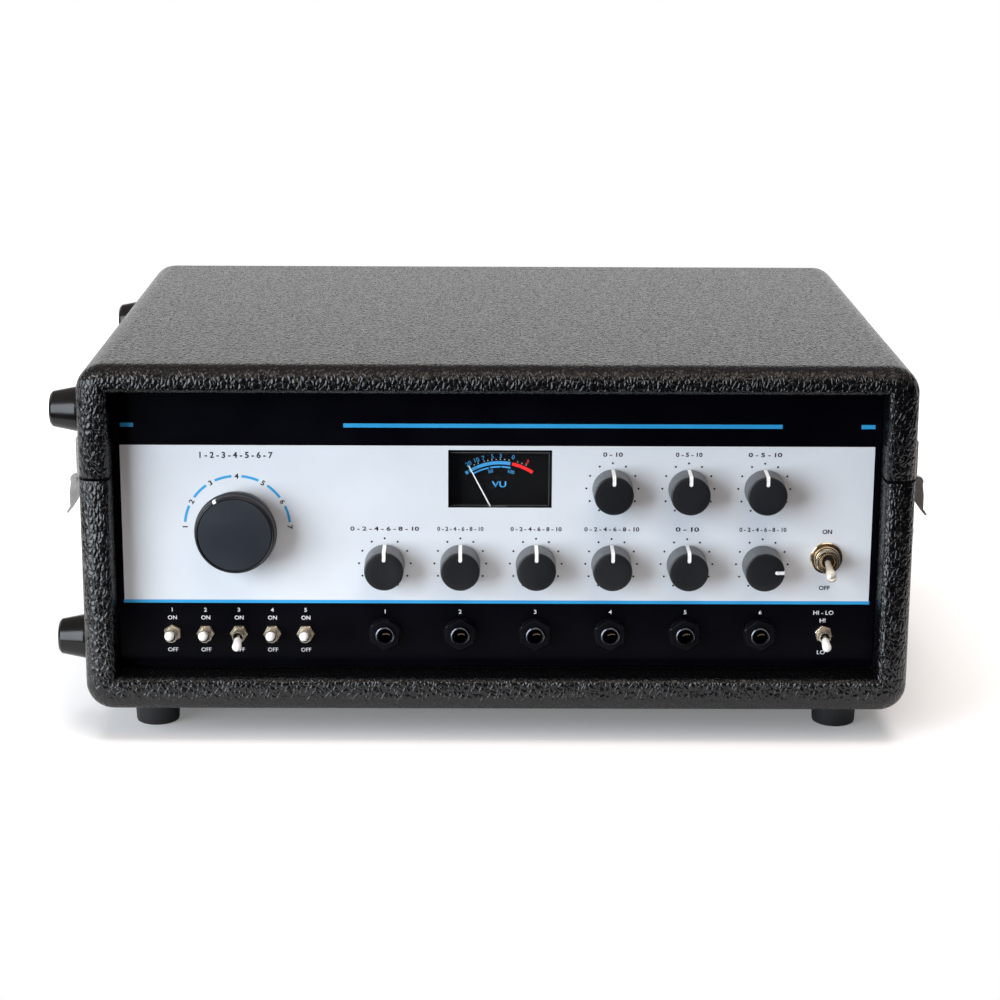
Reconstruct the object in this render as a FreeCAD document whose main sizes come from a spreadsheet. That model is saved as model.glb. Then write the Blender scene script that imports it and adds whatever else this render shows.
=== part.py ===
import FreeCAD, Part
import math
import os
import re

import Sketcher

# Driving sizes in millimetres and degrees. Heights named *_rise count from the underside of the case.
SIZES = {
    # the covered case: a lower case and a lid that swings up on rear hinges
    "case_width": 420,
    "case_depth": 320,
    "case_height": 180,
    "lid_height": 58,
    "side_wall": 16,
    "lid_board": 14,
    "floor_board": 18,
    "back_wall": 12,
    "corner_round": 14,
    "edge_round": 9,
    "mouth_round": 4,
    "seam_gap": 0.4,
    # rubber feet
    "foot_height": 17,
    "foot_top_radius": 12,
    "foot_tip_radius": 9.2,
    "foot_inset": 32,
    "foot_setback": 39,
    "foot_rear_setback": 30,
    "foot_recess_radius": 4.5,
    "foot_recess_depth": 8,
    "side_foot_length": 17.8,
    "side_foot_low_rise": 28.5,
    "strike_foot_gap": 0.9,
    # front panel, a folded sheet
    "panel_recess": 17.75,
    "panel_thick": 2,
    "panel_side_gap": 0.5,
    "panel_top_gap": 0.6,
    "panel_flange": 14,
    # places of the controls on the panel, from the middle of the case and its underside
    "knob_column": -57.3,
    "knob_pitch": 38.5,
    "lower_row_rise": 74.5,
    "upper_row_rise": 114.2,
    "socket_row_rise": 37,
    "mode_knob_x": -132,
    "mode_knob_rise": 93.5,
    "toggle_column": -166.5,
    "toggle_pitch": 17.1,
    "right_switch_x": 168,
    "power_switch_rise": 78,
    "level_switch_rise": 37.5,
    # knobs and what turns inside them
    "knob_skirt_radius": 10.25,
    "knob_face_radius": 9.9,
    "knob_length": 15,
    "knob_gap": 1,
    "knob_hollow_radius": 7.6,
    "knob_hollow_depth": 5,
    "knob_edge": 0.6,
    "mode_knob_radius": 21,
    "mode_knob_length": 15.5,
    "mode_knob_taper": 0.8,
    "mode_hollow_radius": 17,
    "mode_groove_radius": 18.4,
    "mode_groove_width": 0.5,
    "mode_groove_depth": 0.6,
    "mode_pointer_angle": -30,
    "last_pointer_angle": 90,
    "pointer_width": 1.5,
    "pointer_depth": 0.3,
    "pointer_reach": 4,
    "shaft_radius": 3,
    "shaft_fit": 0.06,
    "shaft_tail": 9,
    "pot_radius": 8.5,
    "pot_depth": 11,
    "pot_bush_radius": 3.9,
    "pot_bush_proud": 3.2,
    "rotary_switch_radius": 14,
    "rotary_switch_depth": 22,
    "pot_tag_setback": 4,
    "pot_tag_drop": 5,
    "tag_thick": 1,
    "hole_gap": 0.15,
    # quarter-inch sockets
    "socket_bore_radius": 3.25,
    "socket_barrel_radius": 4.75,
    "socket_proud": 4.6,
    "socket_body_side": 15,
    "socket_body_depth": 27,
    "socket_bore_depth": 30,
    "socket_nut_flats": 14,
    "socket_nut_thick": 2.9,
    "socket_washer_radius": 8.4,
    "socket_washer_thick": 0.7,
    # small and large lever switches
    "small_barrel_radius": 3,
    "small_barrel_bore": 2.45,
    "small_barrel_proud": 7.5,
    "small_ball_radius": 2.38,
    "small_ball_depth": 2.2,
    "small_lever_length": 14.3,
    "small_lever_root": 0.9,
    "small_lever_tip": 1.45,
    "small_nut_flats": 8,
    "small_nut_thick": 2,
    "small_switch_width": 7.5,
    "small_switch_height": 13,
    "small_switch_depth": 11,
    "large_barrel_radius": 5.9,
    "large_barrel_bore": 4.6,
    "large_barrel_proud": 8.5,
    "large_ball_radius": 4.52,
    "large_ball_depth": 2,
    "large_lever_length": 21.5,
    "large_lever_root": 1.6,
    "large_lever_tip": 2.7,
    "large_nut_flats": 14,
    "large_nut_thick": 2.4,
    "large_washer_radius": 8.3,
    "large_washer_thick": 1.2,
    "large_switch_width": 17,
    "large_switch_height": 28,
    "large_switch_depth": 22,
    "switch_tag_width": 2,
    "switch_tag_length": 4,
    "lever_tilt": 12.5,
    # level meter behind its window
    "meter_x": 1.25,
    "meter_window_width": 52.5,
    "meter_window_low": 104,
    "meter_window_high": 134,
    "meter_margin": 3,
    "meter_wall": 2,
    "meter_depth": 20,
    "meter_pivot_drop": 10,
    "meter_dial_depth": 7,
    "meter_dial_thick": 0.8,
    "meter_pane": 1.5,
    "meter_ledge": 2,
    "meter_pivot_gap": 4,
    "coil_radius": 7.2,
    "coil_gap": 3,
    "needle_length": 37,
    "needle_width": 0.7,
    "needle_thick": 0.5,
    "needle_rest_angle": 27.6,
    "needle_hub_radius": 2.4,
    "needle_staff_radius": 0.9,
    # chassis tray, deck and the posts between them
    "tray_thick": 1.5,
    "tray_side_gap": 6,
    "tray_rim": 12,
    "deck_rise": 118,
    "deck_thick": 2,
    "deck_side_gap": 8,
    "deck_front": 33,
    "post_radius": 5,
    "post_inset": 12,
    # tape transport; places on the deck from the middle of the case
    "tape_width": 6.35,
    "tape_thick": 0.3,
    "tape_setback": 93,
    "tape_left_x": -126,
    "tape_right_x": 121,
    "tape_corner_radius": 6,
    "tape_gap": 0.3,
    "fold_gap_front": 14,
    "fold_gap_back": 12,
    "capstan_x": 92,
    "capstan_rise": 20,
    "flywheel_radius": 28,
    "flywheel_thick": 8,
    "flywheel_gap": 2,
    "motor_radius": 22,
    "motor_length": 42,
    "motor_flange": 5,
    "head_plate_thick": 1.8,
    "head_plate_width": 22,
    "head_count": 5,
    "head_first_x": -68,
    "head_pitch": 26,
    "head_side": 13,
    "head_depth": 14,
    "head_height": 11,
    "guide_radius": 2.6,
    "guide_flange_radius": 4.2,
    "roller_radius": 9,
    "roller_height": 9,
    "roller_axle_radius": 1.5,
    "pinch_pivot_x": 125,
    "pinch_setback": 22,
    "pinch_arm_length": 35.3,
    "pinch_arm_width": 8,
    "pinch_arm_thick": 3,
    "pinch_arm_rise": 13,
    "pinch_rest_angle": -6.8,
    "pinch_swing": 14,
    "pinch_hub_radius": 6,
    "pinch_tail": 15,
    "pinch_cap_thick": 1.2,
    "magnet_width": 18,
    "magnet_rise": 3,
    "pole_width": 8,
    "pole_length": 1.5,
    "bin_left": -150,
    "bin_right": 146,
    "bin_gap_front": 30,
    "bin_gap_back": 31,
    "bin_wall": 2,
    "bin_floor": 1.5,
    "bin_height": 14,
    "bin_slot": 8,
    "bin_boss_radius": 4.5,
    "cover_thick": 3,
    "thumb_radius": 6,
    "thumb_height": 6,
    "thumb_stem_radius": 2,
    "thumb_hole_depth": 9,
    # things on the chassis tray
    "transformer_width": 66,
    "transformer_depth": 56,
    "transformer_height": 54,
    "transformer_foot": 8,
    "transformer_foot_thick": 2,
    "transformer_gap_side": 12,
    "transformer_gap_back": 14,
    "winding_round": 5,
    "tank_length": 235,
    "tank_width": 62,
    "tank_height": 33,
    "tank_wall": 1.5,
    "tank_gap_side": 24,
    "tank_gap_back": 14,
    "tank_block": 12,
    "tank_block_margin": 8,
    "tank_rod_radius": 2,
    "board_thick": 1.6,
    "board_rise": 8,
    "board_gap_left": 30,
    "board_gap_right": 136,
    "board_gap_front": 12,
    "board_gap_back": 79,
    "board_post_radius": 3,
    "board_post_inset": 6,
    "can_radius": 8,
    "can_height": 22,
    "chip_length": 18,
    "chip_width": 8,
    "chip_height": 4,
    # back of the case
    "rear_plate_width": 250,
    "rear_plate_low_rise": 34,
    "rear_plate_drop": 24,
    "rear_plate_thick": 2,
    "rear_plate_gap": 0.3,
    "rear_rebate": 4,
    "rear_lap": 8,
    "vent_count": 9,
    "vent_first_x": -95,
    "vent_pitch": 14,
    "vent_width": 4,
    "vent_height": 28,
    "inlet_x": 85,
    "inlet_rise": 66,
    "inlet_width": 27.2,
    "inlet_height": 19.6,
    "inlet_depth": 18,
    "inlet_flange": 6,
    "inlet_flange_thick": 2.6,
    "inlet_flange_lap": 2,
    "inlet_wall": 1.6,
    "inlet_corner": 6,
    "inlet_pin_pitch": 7,
    "inlet_pin_rise": 2.5,
    "inlet_pin_drop": 2,
    "inlet_pin_width": 2,
    "inlet_pin_height": 4,
    "hinge_x": 120,
    "hinge_width": 60,
    "hinge_leaf_height": 24,
    "hinge_leaf_thick": 1.6,
    "knuckle_radius": 3,
    "hinge_stand": 3.4,
    "hinge_pin_radius": 1.4,
    "hinge_end_gap": 0.3,
    "hinge_back_gap": 0.45,
    # strap handle on the right wall
    "handle_rise": 74,
    "strap_width": 26,
    "strap_thick": 5,
    "strap_end_thick": 3,
    "strap_lift": 15,
    "strap_end_lift": 2.5,
    "strap_half_length": 80,
    "strap_foot_length": 24,
    "strap_rise_length": 18,
    "strap_end_gap": 5,
    "cap_reach": 12.5,
    "cap_wall": 2,
    "cap_taper": 1.5,
    "cap_length": 28,
    "strap_side_gap": 0.4,
    # over-centre draw latches near the front of both walls
    "latch_setback": 39,
    "latch_half_width": 12,
    "latch_sheet": 1.4,
    "latch_side_gap": 0.3,
    "latch_pivot_reach": 5,
    "latch_pivot_drop": 6,
    "latch_throw": 5.5,
    "latch_rest_angle": 100,
    "latch_eye_radius": 2.6,
    "latch_pin_radius": 1.1,
    "claw_pin_radius": 0.9,
    "claw_barrel_radius": 1.7,
    "strike_top": 12.7,
    "strike_border": 2.4,
    "latch_tail": 13,
    "latch_base_drop": 9,
    "latch_base_gap": 0.6,
    "latch_ear_drop": 6,
    "latch_web_reach": 2,
    "latch_web_drop": 2.3,
    "latch_heel": 3,
    "latch_lip_reach": 5.4,
    "latch_lip_rise": 3.5,
    "strike_gap": 3,
    "strike_thick": 1.2,
    "ledge_height": 5,
    "ledge_reach": 2.2,
    "hook_gap": 0.3,
    "hook_reach": 2.5,
}

doc = FreeCAD.newDocument("tape_echo")
sheet = doc.addObject("Spreadsheet::Sheet", "Sizes")
for row, (alias, number) in enumerate(SIZES.items(), 1):
    sheet.set(f"A{row}", alias)
    sheet.set(f"B{row}", str(number))
    sheet.setAlias(f"B{row}", alias)
doc.recompute()

# Places that many pieces share, as formulas in the sheet's names.
FRONT = "(-case_depth / 2)"
BACK = "(case_depth / 2)"
BASE = "foot_height"
TOP = "(foot_height + case_height)"
SEAM = "(foot_height + case_height - lid_height)"
INNER = "(case_width / 2 - side_wall)"
FLOOR = "(foot_height + floor_board)"
CEILING = "(foot_height + case_height - lid_board)"
PANEL = "(-case_depth / 2 + panel_recess)"
PANEL_BACK = "(-case_depth / 2 + panel_recess + panel_thick)"
TRAY_TOP = "(foot_height + floor_board + tray_thick)"
DECK = "(foot_height + deck_rise)"
TAPE_LOW = "(foot_height + deck_rise + head_plate_thick + tape_gap)"
TAPE_LINE = "(tape_setback - case_depth / 2)"
CAPSTAN_Y = "(tape_setback - case_depth / 2 + tape_thick / 2 + tape_gap + shaft_radius)"
PINCH_Y = "(tape_setback - pinch_setback - case_depth / 2)"
BIN_FRONT = "(tape_setback + bin_gap_front - case_depth / 2)"
BIN_BACK = "(case_depth / 2 - bin_gap_back)"
CASE_SIDE = "(case_width / 2)"
METER_LEFT = "(meter_x - meter_window_width / 2)"
METER_RIGHT = "(meter_x + meter_window_width / 2)"
METER_PIVOT = "(foot_height + meter_window_low - meter_pivot_drop)"

PIECES = []


def formula(text):
    """Puts the sheet's name before each of its aliases."""
    return re.sub(r"[a-z][a-z_0-9]*", lambda m: f"Sizes.{m[0]}" if m[0] in SIZES else m[0], str(text))


def value(text):
    return float(sheet.evalExpression(formula(text)))


def keep(piece, label):
    piece.Label = label
    PIECES.append(piece)
    return piece


def new_body(label):
    return keep(doc.addObject("PartDesign::Body", label), label)


def new_sketch(body, plane, level, across="0", up="0"):
    """A sketch on the body's own origin plane, moved to a level along the plane's axis."""
    feature = next(f for f in body.Origin.OriginFeatures if f.Role == f"{plane}_Plane")
    sketch = body.newObject("Sketcher::SketchObject", "Sketch")
    sketch.AttachmentSupport = [(feature, "")]
    sketch.MapMode = "FlatFace"
    sign = "-1" if plane == "XZ" else "1"
    for axis, text in (("x", across), ("y", up), ("z", f"{sign} * ({level})")):
        sketch.setExpression(f"AttachmentOffset.Base.{axis}", formula(text))
    return sketch


def bind(sketch, constraint, text):
    index = sketch.addConstraint(constraint)
    sketch.setExpression(f"Constraints[{index}]", formula(text))


def pin(sketch, index, end, across, up):
    """Holds a point of the sketch at its two distances from the sketch's origin."""
    for kind, text in (("DistanceX", across), ("DistanceY", up)):
        bind(sketch, Sketcher.Constraint(kind, -1, 1, index, end, value(text)), text)


def outline(*points):
    """A closed run of straight lines."""

    def draw(sketch):
        first = sketch.GeometryCount
        spots = [FreeCAD.Vector(value(across), value(up), 0) for across, up in points]
        count = len(spots)
        for i in range(count):
            sketch.addGeometry(Part.LineSegment(spots[i], spots[(i + 1) % count]))
        for i in range(count):
            after = first + (i + 1) % count
            sketch.addConstraint(Sketcher.Constraint("Coincident", first + i, 2, after, 1))
            pin(sketch, first + i, 1, *points[i])

    return draw


def rectangle(left, low, right, high):
    return outline((left, low), (right, low), (right, high), (left, high))


def disc(across, up, radius):
    def draw(sketch):
        centre = FreeCAD.Vector(value(across), value(up), 0)
        index = sketch.addGeometry(Part.Circle(centre, FreeCAD.Vector(0, 0, 1), value(radius)))
        pin(sketch, index, 3, across, up)
        bind(sketch, Sketcher.Constraint("Radius", index, value(radius)), radius)

    return draw


def hexagon(across, up, flats):
    """A hexagon by its width across flats, with two flats upright."""
    points = []
    for corner in range(6):
        turn = math.radians(30 + 60 * corner)
        reach = 0.5 / math.cos(math.radians(30))
        points.append(
            (
                f"{across} + {flats} * {reach * math.cos(turn):.6f}",
                f"{up} + {flats} * {reach * math.sin(turn):.6f}",
            )
        )
    return outline(*points)


def extrude(kind, body, plane, low, high, shapes):
    sketch = new_sketch(body, plane, low)
    for draw in shapes:
        draw(sketch)
    feature = body.newObject(f"PartDesign::{kind}", kind)
    feature.Profile = sketch
    feature.setExpression("Length", formula(f"({high}) - ({low})"))
    feature.Reversed = (plane == "XZ") == (kind == "Pad")
    return feature


def pad(body, plane, low, high, *shapes):
    """Adds the shapes between two levels along the plane's axis."""
    return extrude("Pad", body, plane, low, high, shapes)


def pocket(body, plane, low, high, *shapes):
    """Cuts the shapes away between two levels along the plane's axis."""
    return extrude("Pocket", body, plane, low, high, shapes)


def turn(body, axis, points, at=("0", "0", "0"), kind="Revolution"):
    """Turns a profile of (along, radius) points about a line through a point."""
    x, y, z = at
    if axis == "Y":
        sketch = new_sketch(body, "YZ", x, y, z)
    else:
        sketch = new_sketch(body, "XZ", y, x, z)
    if axis == "Z":
        points = [(radius, along) for along, radius in points]
    outline(*points)(sketch)
    feature = body.newObject(f"PartDesign::{kind}", kind)
    feature.Profile = sketch
    feature.ReferenceAxis = (sketch, ["V_Axis" if axis == "Z" else "H_Axis"])
    feature.Angle = 360
    return feature


def ball_feature(body, radius):
    """A ball about the body's own origin: half a disc turned about the sketch's level axis."""
    sketch = new_sketch(body, "YZ", "0")
    size = value(radius)
    centre, normal = FreeCAD.Vector(), FreeCAD.Vector(0, 0, 1)
    arc = sketch.addGeometry(Part.ArcOfCircle(Part.Circle(centre, normal, size), 0, math.pi))
    ends = FreeCAD.Vector(-size, 0, 0), FreeCAD.Vector(size, 0, 0)
    line = sketch.addGeometry(Part.LineSegment(*ends))
    sketch.addConstraint(Sketcher.Constraint("Coincident", arc, 2, line, 1))
    sketch.addConstraint(Sketcher.Constraint("Coincident", arc, 1, line, 2))
    sketch.addConstraint(Sketcher.Constraint("Coincident", arc, 3, -1, 1))
    sketch.addConstraint(Sketcher.Constraint("Horizontal", line))
    bind(sketch, Sketcher.Constraint("Radius", arc, size), radius)
    feature = body.newObject("PartDesign::Revolution", "Revolution")
    feature.Profile = sketch
    feature.ReferenceAxis = (sketch, ["H_Axis"])
    feature.Angle = 360
    return feature


def soften(body, kind, size, picks):
    """Rounds (Fillet) or bevels (Chamfer) the edges of the body's last feature that the test picks."""
    doc.recompute()
    base = body.Tip
    names = [f"Edge{i}" for i, edge in enumerate(base.Shape.Edges, 1) if picks(edge)]
    feature = body.newObject(f"PartDesign::{kind}", kind)
    feature.Base = (base, names)
    feature.setExpression("Radius" if kind == "Fillet" else "Size", formula(size))
    return feature


def lies_at(edge, axis, text):
    """True for an edge that lies whole in the plane where the axis has that value."""
    box = edge.BoundBox
    low, high = getattr(box, f"{axis}Min"), getattr(box, f"{axis}Max")
    return abs(low - value(text)) < 0.01 and abs(high - value(text)) < 0.01


def runs_along(edge, axis):
    box = edge.BoundBox
    length = getattr(box, f"{axis}Length")
    return length > 0.5 and abs(length - box.DiagonalLength) < 0.01


def place(piece, x="0", y="0", z="0"):
    for axis, text in (("x", x), ("y", y), ("z", z)):
        piece.setExpression(f"Placement.Base.{axis}", formula(text))


def tilt(piece, axis, angle):
    """Turns a piece about an axis through its own origin."""
    piece.Placement = FreeCAD.Placement(FreeCAD.Vector(), FreeCAD.Rotation(axis, value(angle)))
    piece.setExpression("Placement.Rotation.Angle", formula(angle))


# ---- the covered case -----------------------------------------------------------------------


def case_shell(label, low, high, outer, cavity_low, cavity_high):
    """One half of the case: a block with rounded outer edges, hollowed and left open in front.

    outer is the level of its closed board's outside, where the long corners are rounded.
    """
    body = new_body(label)
    meeting = high if outer == low else low
    pad(body, "XZ", FRONT, BACK, rectangle(f"-{CASE_SIDE}", low, CASE_SIDE, high))
    soften(body, "Fillet", "corner_round", lambda e: runs_along(e, "Y") and lies_at(e, "Z", outer))
    for face in (FRONT, BACK):
        soften(
            body,
            "Fillet",
            "edge_round",
            lambda e, face=face: lies_at(e, "Y", face) and not lies_at(e, "Z", meeting),
        )
    pocket(
        body,
        "XY",
        cavity_low,
        cavity_high,
        rectangle(f"-{INNER}", f"{FRONT} - 1", INNER, f"{BACK} - back_wall"),
    )
    closed = cavity_low if outer == low else cavity_high
    reach = value(INNER) + 0.01
    low_mm, high_mm = value(cavity_low) - 0.01, value(cavity_high) + 0.01
    soften(
        body,
        "Fillet",
        "mouth_round",
        lambda e: lies_at(e, "Y", FRONT)
        and max(abs(e.BoundBox.XMin), abs(e.BoundBox.XMax)) < reach
        and (e.BoundBox.ZMin > low_mm and e.BoundBox.ZMax < high_mm)
        and (lies_at(e, "Z", closed) or runs_along(e, "Z")),
    )
    return body


lower_case = case_shell("lower_case", BASE, SEAM, BASE, FLOOR, SEAM)
# the back wall has a window for the rear plate, with a rebate round it on the outside
window_low = "foot_height + rear_plate_low_rise"
window_high = f"({SEAM} - rear_plate_drop)"
pocket(
    lower_case,
    "XZ",
    f"{BACK} - back_wall - 1",
    BACK,
    rectangle("-rear_plate_width / 2", window_low, "rear_plate_width / 2", window_high),
)
pocket(
    lower_case,
    "XZ",
    f"{BACK} - rear_rebate",
    BACK,
    rectangle(
        "-rear_plate_width / 2 - rear_lap",
        f"{window_low} - rear_lap",
        "rear_plate_width / 2 + rear_lap",
        f"{window_high} + rear_lap",
    ),
)

case_shell("lid_shell", f"{SEAM} + seam_gap", TOP, TOP, f"{SEAM} + seam_gap", CEILING)

# ---- rubber feet ----------------------------------------------------------------------------


def foot(body, axis, at, length, out):
    """A tapered foot with a screw recess in its tip; out is the sign of the axis it stands along."""
    turn(
        body,
        axis,
        [
            ("0", "0"),
            ("0", "foot_top_radius"),
            (f"{out} * {length} * 0.25", "foot_top_radius - 0.4"),
            (f"{out} * ({length} - 1.2)", "foot_tip_radius"),
            (f"{out} * {length}", "foot_tip_radius - 1.2"),
            (f"{out} * {length}", "foot_recess_radius"),
            (f"{out} * ({length} - foot_recess_depth)", "foot_recess_radius - 0.5"),
            (f"{out} * ({length} - foot_recess_depth)", "0"),
        ],
        at,
    )


FOOT_FRONT = f"({FRONT} + foot_setback)"
FOOT_REAR = f"({BACK} - foot_rear_setback)"

base_feet = new_body("base_feet")
for side in (-1, 1):
    for along in (FOOT_FRONT, FOOT_REAR):
        foot(base_feet, "Z", (f"{side} * ({CASE_SIDE} - foot_inset)", along, BASE), "foot_height", -1)
SIDE_FOOT_LOW = "(foot_height + side_foot_low_rise)"
# the upper ones sit just above the latch's strike plate
SIDE_FOOT_HIGH = f"({SEAM} + strike_top + strike_border + strike_foot_gap + foot_top_radius)"
for label, height in (("side_feet_lower", SIDE_FOOT_LOW), ("side_feet_upper", SIDE_FOOT_HIGH)):
    side_feet = new_body(label)
    for along in (FOOT_FRONT, FOOT_REAR):
        foot(side_feet, "X", (f"-{CASE_SIDE}", along, height), "side_foot_length", -1)

# ---- places of the controls -----------------------------------------------------------------


def column(index):
    return f"(knob_column + {index} * knob_pitch)"


# small knobs: label, x, rise and the pointer's clockwise angle from upright
SMALL_KNOBS = [(f"knob_lower_{i + 1}", column(i), "lower_row_rise", "0") for i in range(5)]
SMALL_KNOBS.append(("knob_lower_6", column(5), "lower_row_rise", "last_pointer_angle"))
SMALL_KNOBS += [(f"knob_upper_{i + 1}", column(i + 3), "upper_row_rise", "0") for i in range(3)]
SOCKETS = [column(i) for i in range(6)]
# small lever switches: label, x, rise and whether the lever points up
SMALL_SWITCHES = [
    (f"toggle_lever_{i + 1}", f"(toggle_column + {i} * toggle_pitch)", "socket_row_rise", i != 2)
    for i in range(5)
]
SMALL_SWITCHES.append(("level_lever", "right_switch_x", "level_switch_rise", False))

# ---- front panel ----------------------------------------------------------------------------

panel_low = TRAY_TOP
panel_high = f"({CEILING} - panel_top_gap)"
panel_side = f"({INNER} - panel_side_gap)"
front_panel = new_body("front_panel")
pad(front_panel, "XZ", PANEL, PANEL_BACK, rectangle(f"-{panel_side}", panel_low, panel_side, panel_high))
for low, high in (
    (panel_low, f"{panel_low} + panel_thick"),
    (f"{panel_high} - panel_thick", panel_high),
):
    pad(
        front_panel,
        "XY",
        low,
        high,
        rectangle(
            f"-{panel_side} + tray_side_gap",
            PANEL,
            f"{panel_side} - tray_side_gap",
            f"{PANEL_BACK} + panel_flange",
        ),
    )
panel_holes = [(x, rise, "pot_bush_radius") for _, x, rise, _ in SMALL_KNOBS]
panel_holes.append(("mode_knob_x", "mode_knob_rise", "pot_bush_radius"))
panel_holes += [(x, "socket_row_rise", "socket_barrel_radius") for x in SOCKETS]
panel_holes += [(x, rise, "small_barrel_radius") for _, x, rise, _ in SMALL_SWITCHES]
panel_holes.append(("right_switch_x", "power_switch_rise", "large_barrel_radius"))
pocket(
    front_panel,
    "XZ",
    f"{PANEL} - 1",
    f"{PANEL_BACK} + 1",
    rectangle(METER_LEFT, "foot_height + meter_window_low", METER_RIGHT, "foot_height + meter_window_high"),
    *[disc(x, f"foot_height + {rise}", f"{radius} + hole_gap") for x, rise, radius in panel_holes],
)

# ---- knobs, their shafts, and the pots and rotary switch behind the panel --------------------


def knob(label, x, rise, pointer, skirt, face, length, hollow, groove=()):
    """A moulded knob with its metal shaft, turned about Y; pointer is its line's clockwise angle.

    groove lists what its face has between rim and centre, as (depth, radius).
    """
    body = new_body(label)
    back = "-knob_gap"
    front = f"(-knob_gap - {length})"
    floor = "(-knob_gap - knob_hollow_depth)"
    turn(
        body,
        "Y",
        [
            ("panel_thick + shaft_tail", "0"),
            ("panel_thick + shaft_tail", "shaft_radius"),
            (floor, "shaft_radius"),
            (floor, hollow),
            (back, hollow),
            (back, skirt),
            (f"{front} + knob_edge", face),
            (front, f"{face} - knob_edge"),
            *[(f"{front} + {depth}", radius) for depth, radius in groove],
            (front, "0"),
        ],
    )
    # the pointer is a groove up the side and a little way over the face
    angle = math.radians(value(pointer))
    across, up = math.sin(angle), math.cos(angle)
    inner, outer = f"({face} - pointer_reach)", f"({skirt} + 1)"
    half = "pointer_width / 2"

    def corner(radius, side):
        return (
            f"{radius} * {across:.6f} + {side} * {half} * {up:.6f}",
            f"{radius} * {up:.6f} - {side} * {half} * {across:.6f}",
        )

    pocket(
        body,
        "XZ",
        f"{front} - 1",
        f"{front} + pointer_depth",
        outline(corner(inner, -1), corner(outer, -1), corner(outer, 1), corner(inner, 1)),
    )
    rim = f"({face} - pointer_depth)"
    pocket(
        body,
        "XZ",
        f"{front} - 1",
        f"{back} - 1.5",
        outline(corner(rim, -1), corner(outer, -1), corner(outer, 1), corner(rim, 1)),
    )
    place(body, x, PANEL, f"foot_height + {rise}")
    return body


for label, x, rise, pointer in SMALL_KNOBS:
    knob(
        label, x, rise, pointer, "knob_skirt_radius", "knob_face_radius", "knob_length", "knob_hollow_radius"
    )
knob(
    "mode_knob",
    "mode_knob_x",
    "mode_knob_rise",
    "mode_pointer_angle",
    "mode_knob_radius",
    "(mode_knob_radius - mode_knob_taper)",
    "mode_knob_length",
    "mode_hollow_radius",
    [
        ("0", "mode_groove_radius + mode_groove_width"),
        ("mode_groove_depth", "mode_groove_radius + mode_groove_width"),
        ("mode_groove_depth", "mode_groove_radius"),
        ("0", "mode_groove_radius"),
    ],
)

pots = new_body("potentiometers")
for _, x, rise, _ in SMALL_KNOBS + [("", "mode_knob_x", "mode_knob_rise", 0)]:
    big = x == "mode_knob_x"
    radius = "rotary_switch_radius" if big else "pot_radius"
    depth = "rotary_switch_depth" if big else "pot_depth"
    bore = "(shaft_radius + shaft_fit)"
    turn(
        pots,
        "Y",
        [
            ("-pot_bush_proud", bore),
            ("-pot_bush_proud", "pot_bush_radius"),
            ("panel_thick", "pot_bush_radius"),
            ("panel_thick", f"{radius} - 0.8"),
            ("panel_thick + 0.8", radius),
            (f"panel_thick + {depth}", radius),
            (f"panel_thick + {depth}", "0"),
            ("panel_thick + shaft_tail + 0.5", "0"),
            ("panel_thick + shaft_tail + 0.5", bore),
        ],
        (x, PANEL, f"foot_height + {rise}"),
    )
    # solder tags along the lower edge of each one
    if not big:
        pad(
            pots,
            "XZ",
            f"{PANEL_BACK} + pot_tag_setback",
            f"{PANEL_BACK} + pot_tag_setback + tag_thick",
            rectangle(
                f"{x} - pot_radius * 0.7",
                f"foot_height + {rise} - pot_radius - pot_tag_drop",
                f"{x} + pot_radius * 0.7",
                f"foot_height + {rise} - pot_radius * 0.6",
            ),
        )

# ---- quarter-inch sockets and their nuts ----------------------------------------------------

jack_sockets = new_body("jack_sockets")
jack_nuts = new_body("jack_nuts")
socket_z = "(foot_height + socket_row_rise)"
half = "socket_body_side / 2"
for x in SOCKETS:
    pad(
        jack_sockets,
        "XZ",
        PANEL_BACK,
        f"{PANEL_BACK} + socket_body_depth",
        rectangle(f"{x} - {half}", f"{socket_z} - {half}", f"{x} + {half}", f"{socket_z} + {half}"),
    )
    pad(
        jack_sockets,
        "XZ",
        f"{PANEL} - socket_proud",
        f"{PANEL_BACK} + 1",
        disc(x, socket_z, "socket_barrel_radius"),
    )
pocket(
    jack_sockets,
    "XZ",
    f"{PANEL} - socket_proud - 1",
    f"{PANEL} - socket_proud + socket_bore_depth",
    *[disc(x, socket_z, "socket_bore_radius") for x in SOCKETS],
)
bores = [disc(x, socket_z, "socket_barrel_radius + shaft_fit") for x in SOCKETS]
washer_top = f"({PANEL} - socket_washer_thick)"
washers = [disc(x, socket_z, "socket_washer_radius") for x in SOCKETS]
pad(jack_nuts, "XZ", washer_top, PANEL, *washers, *bores)
hexagons = [hexagon(x, socket_z, "socket_nut_flats") for x in SOCKETS]
pad(jack_nuts, "XZ", f"{washer_top} - socket_nut_thick", washer_top, *hexagons, *bores)

# ---- lever switches -------------------------------------------------------------------------

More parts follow.
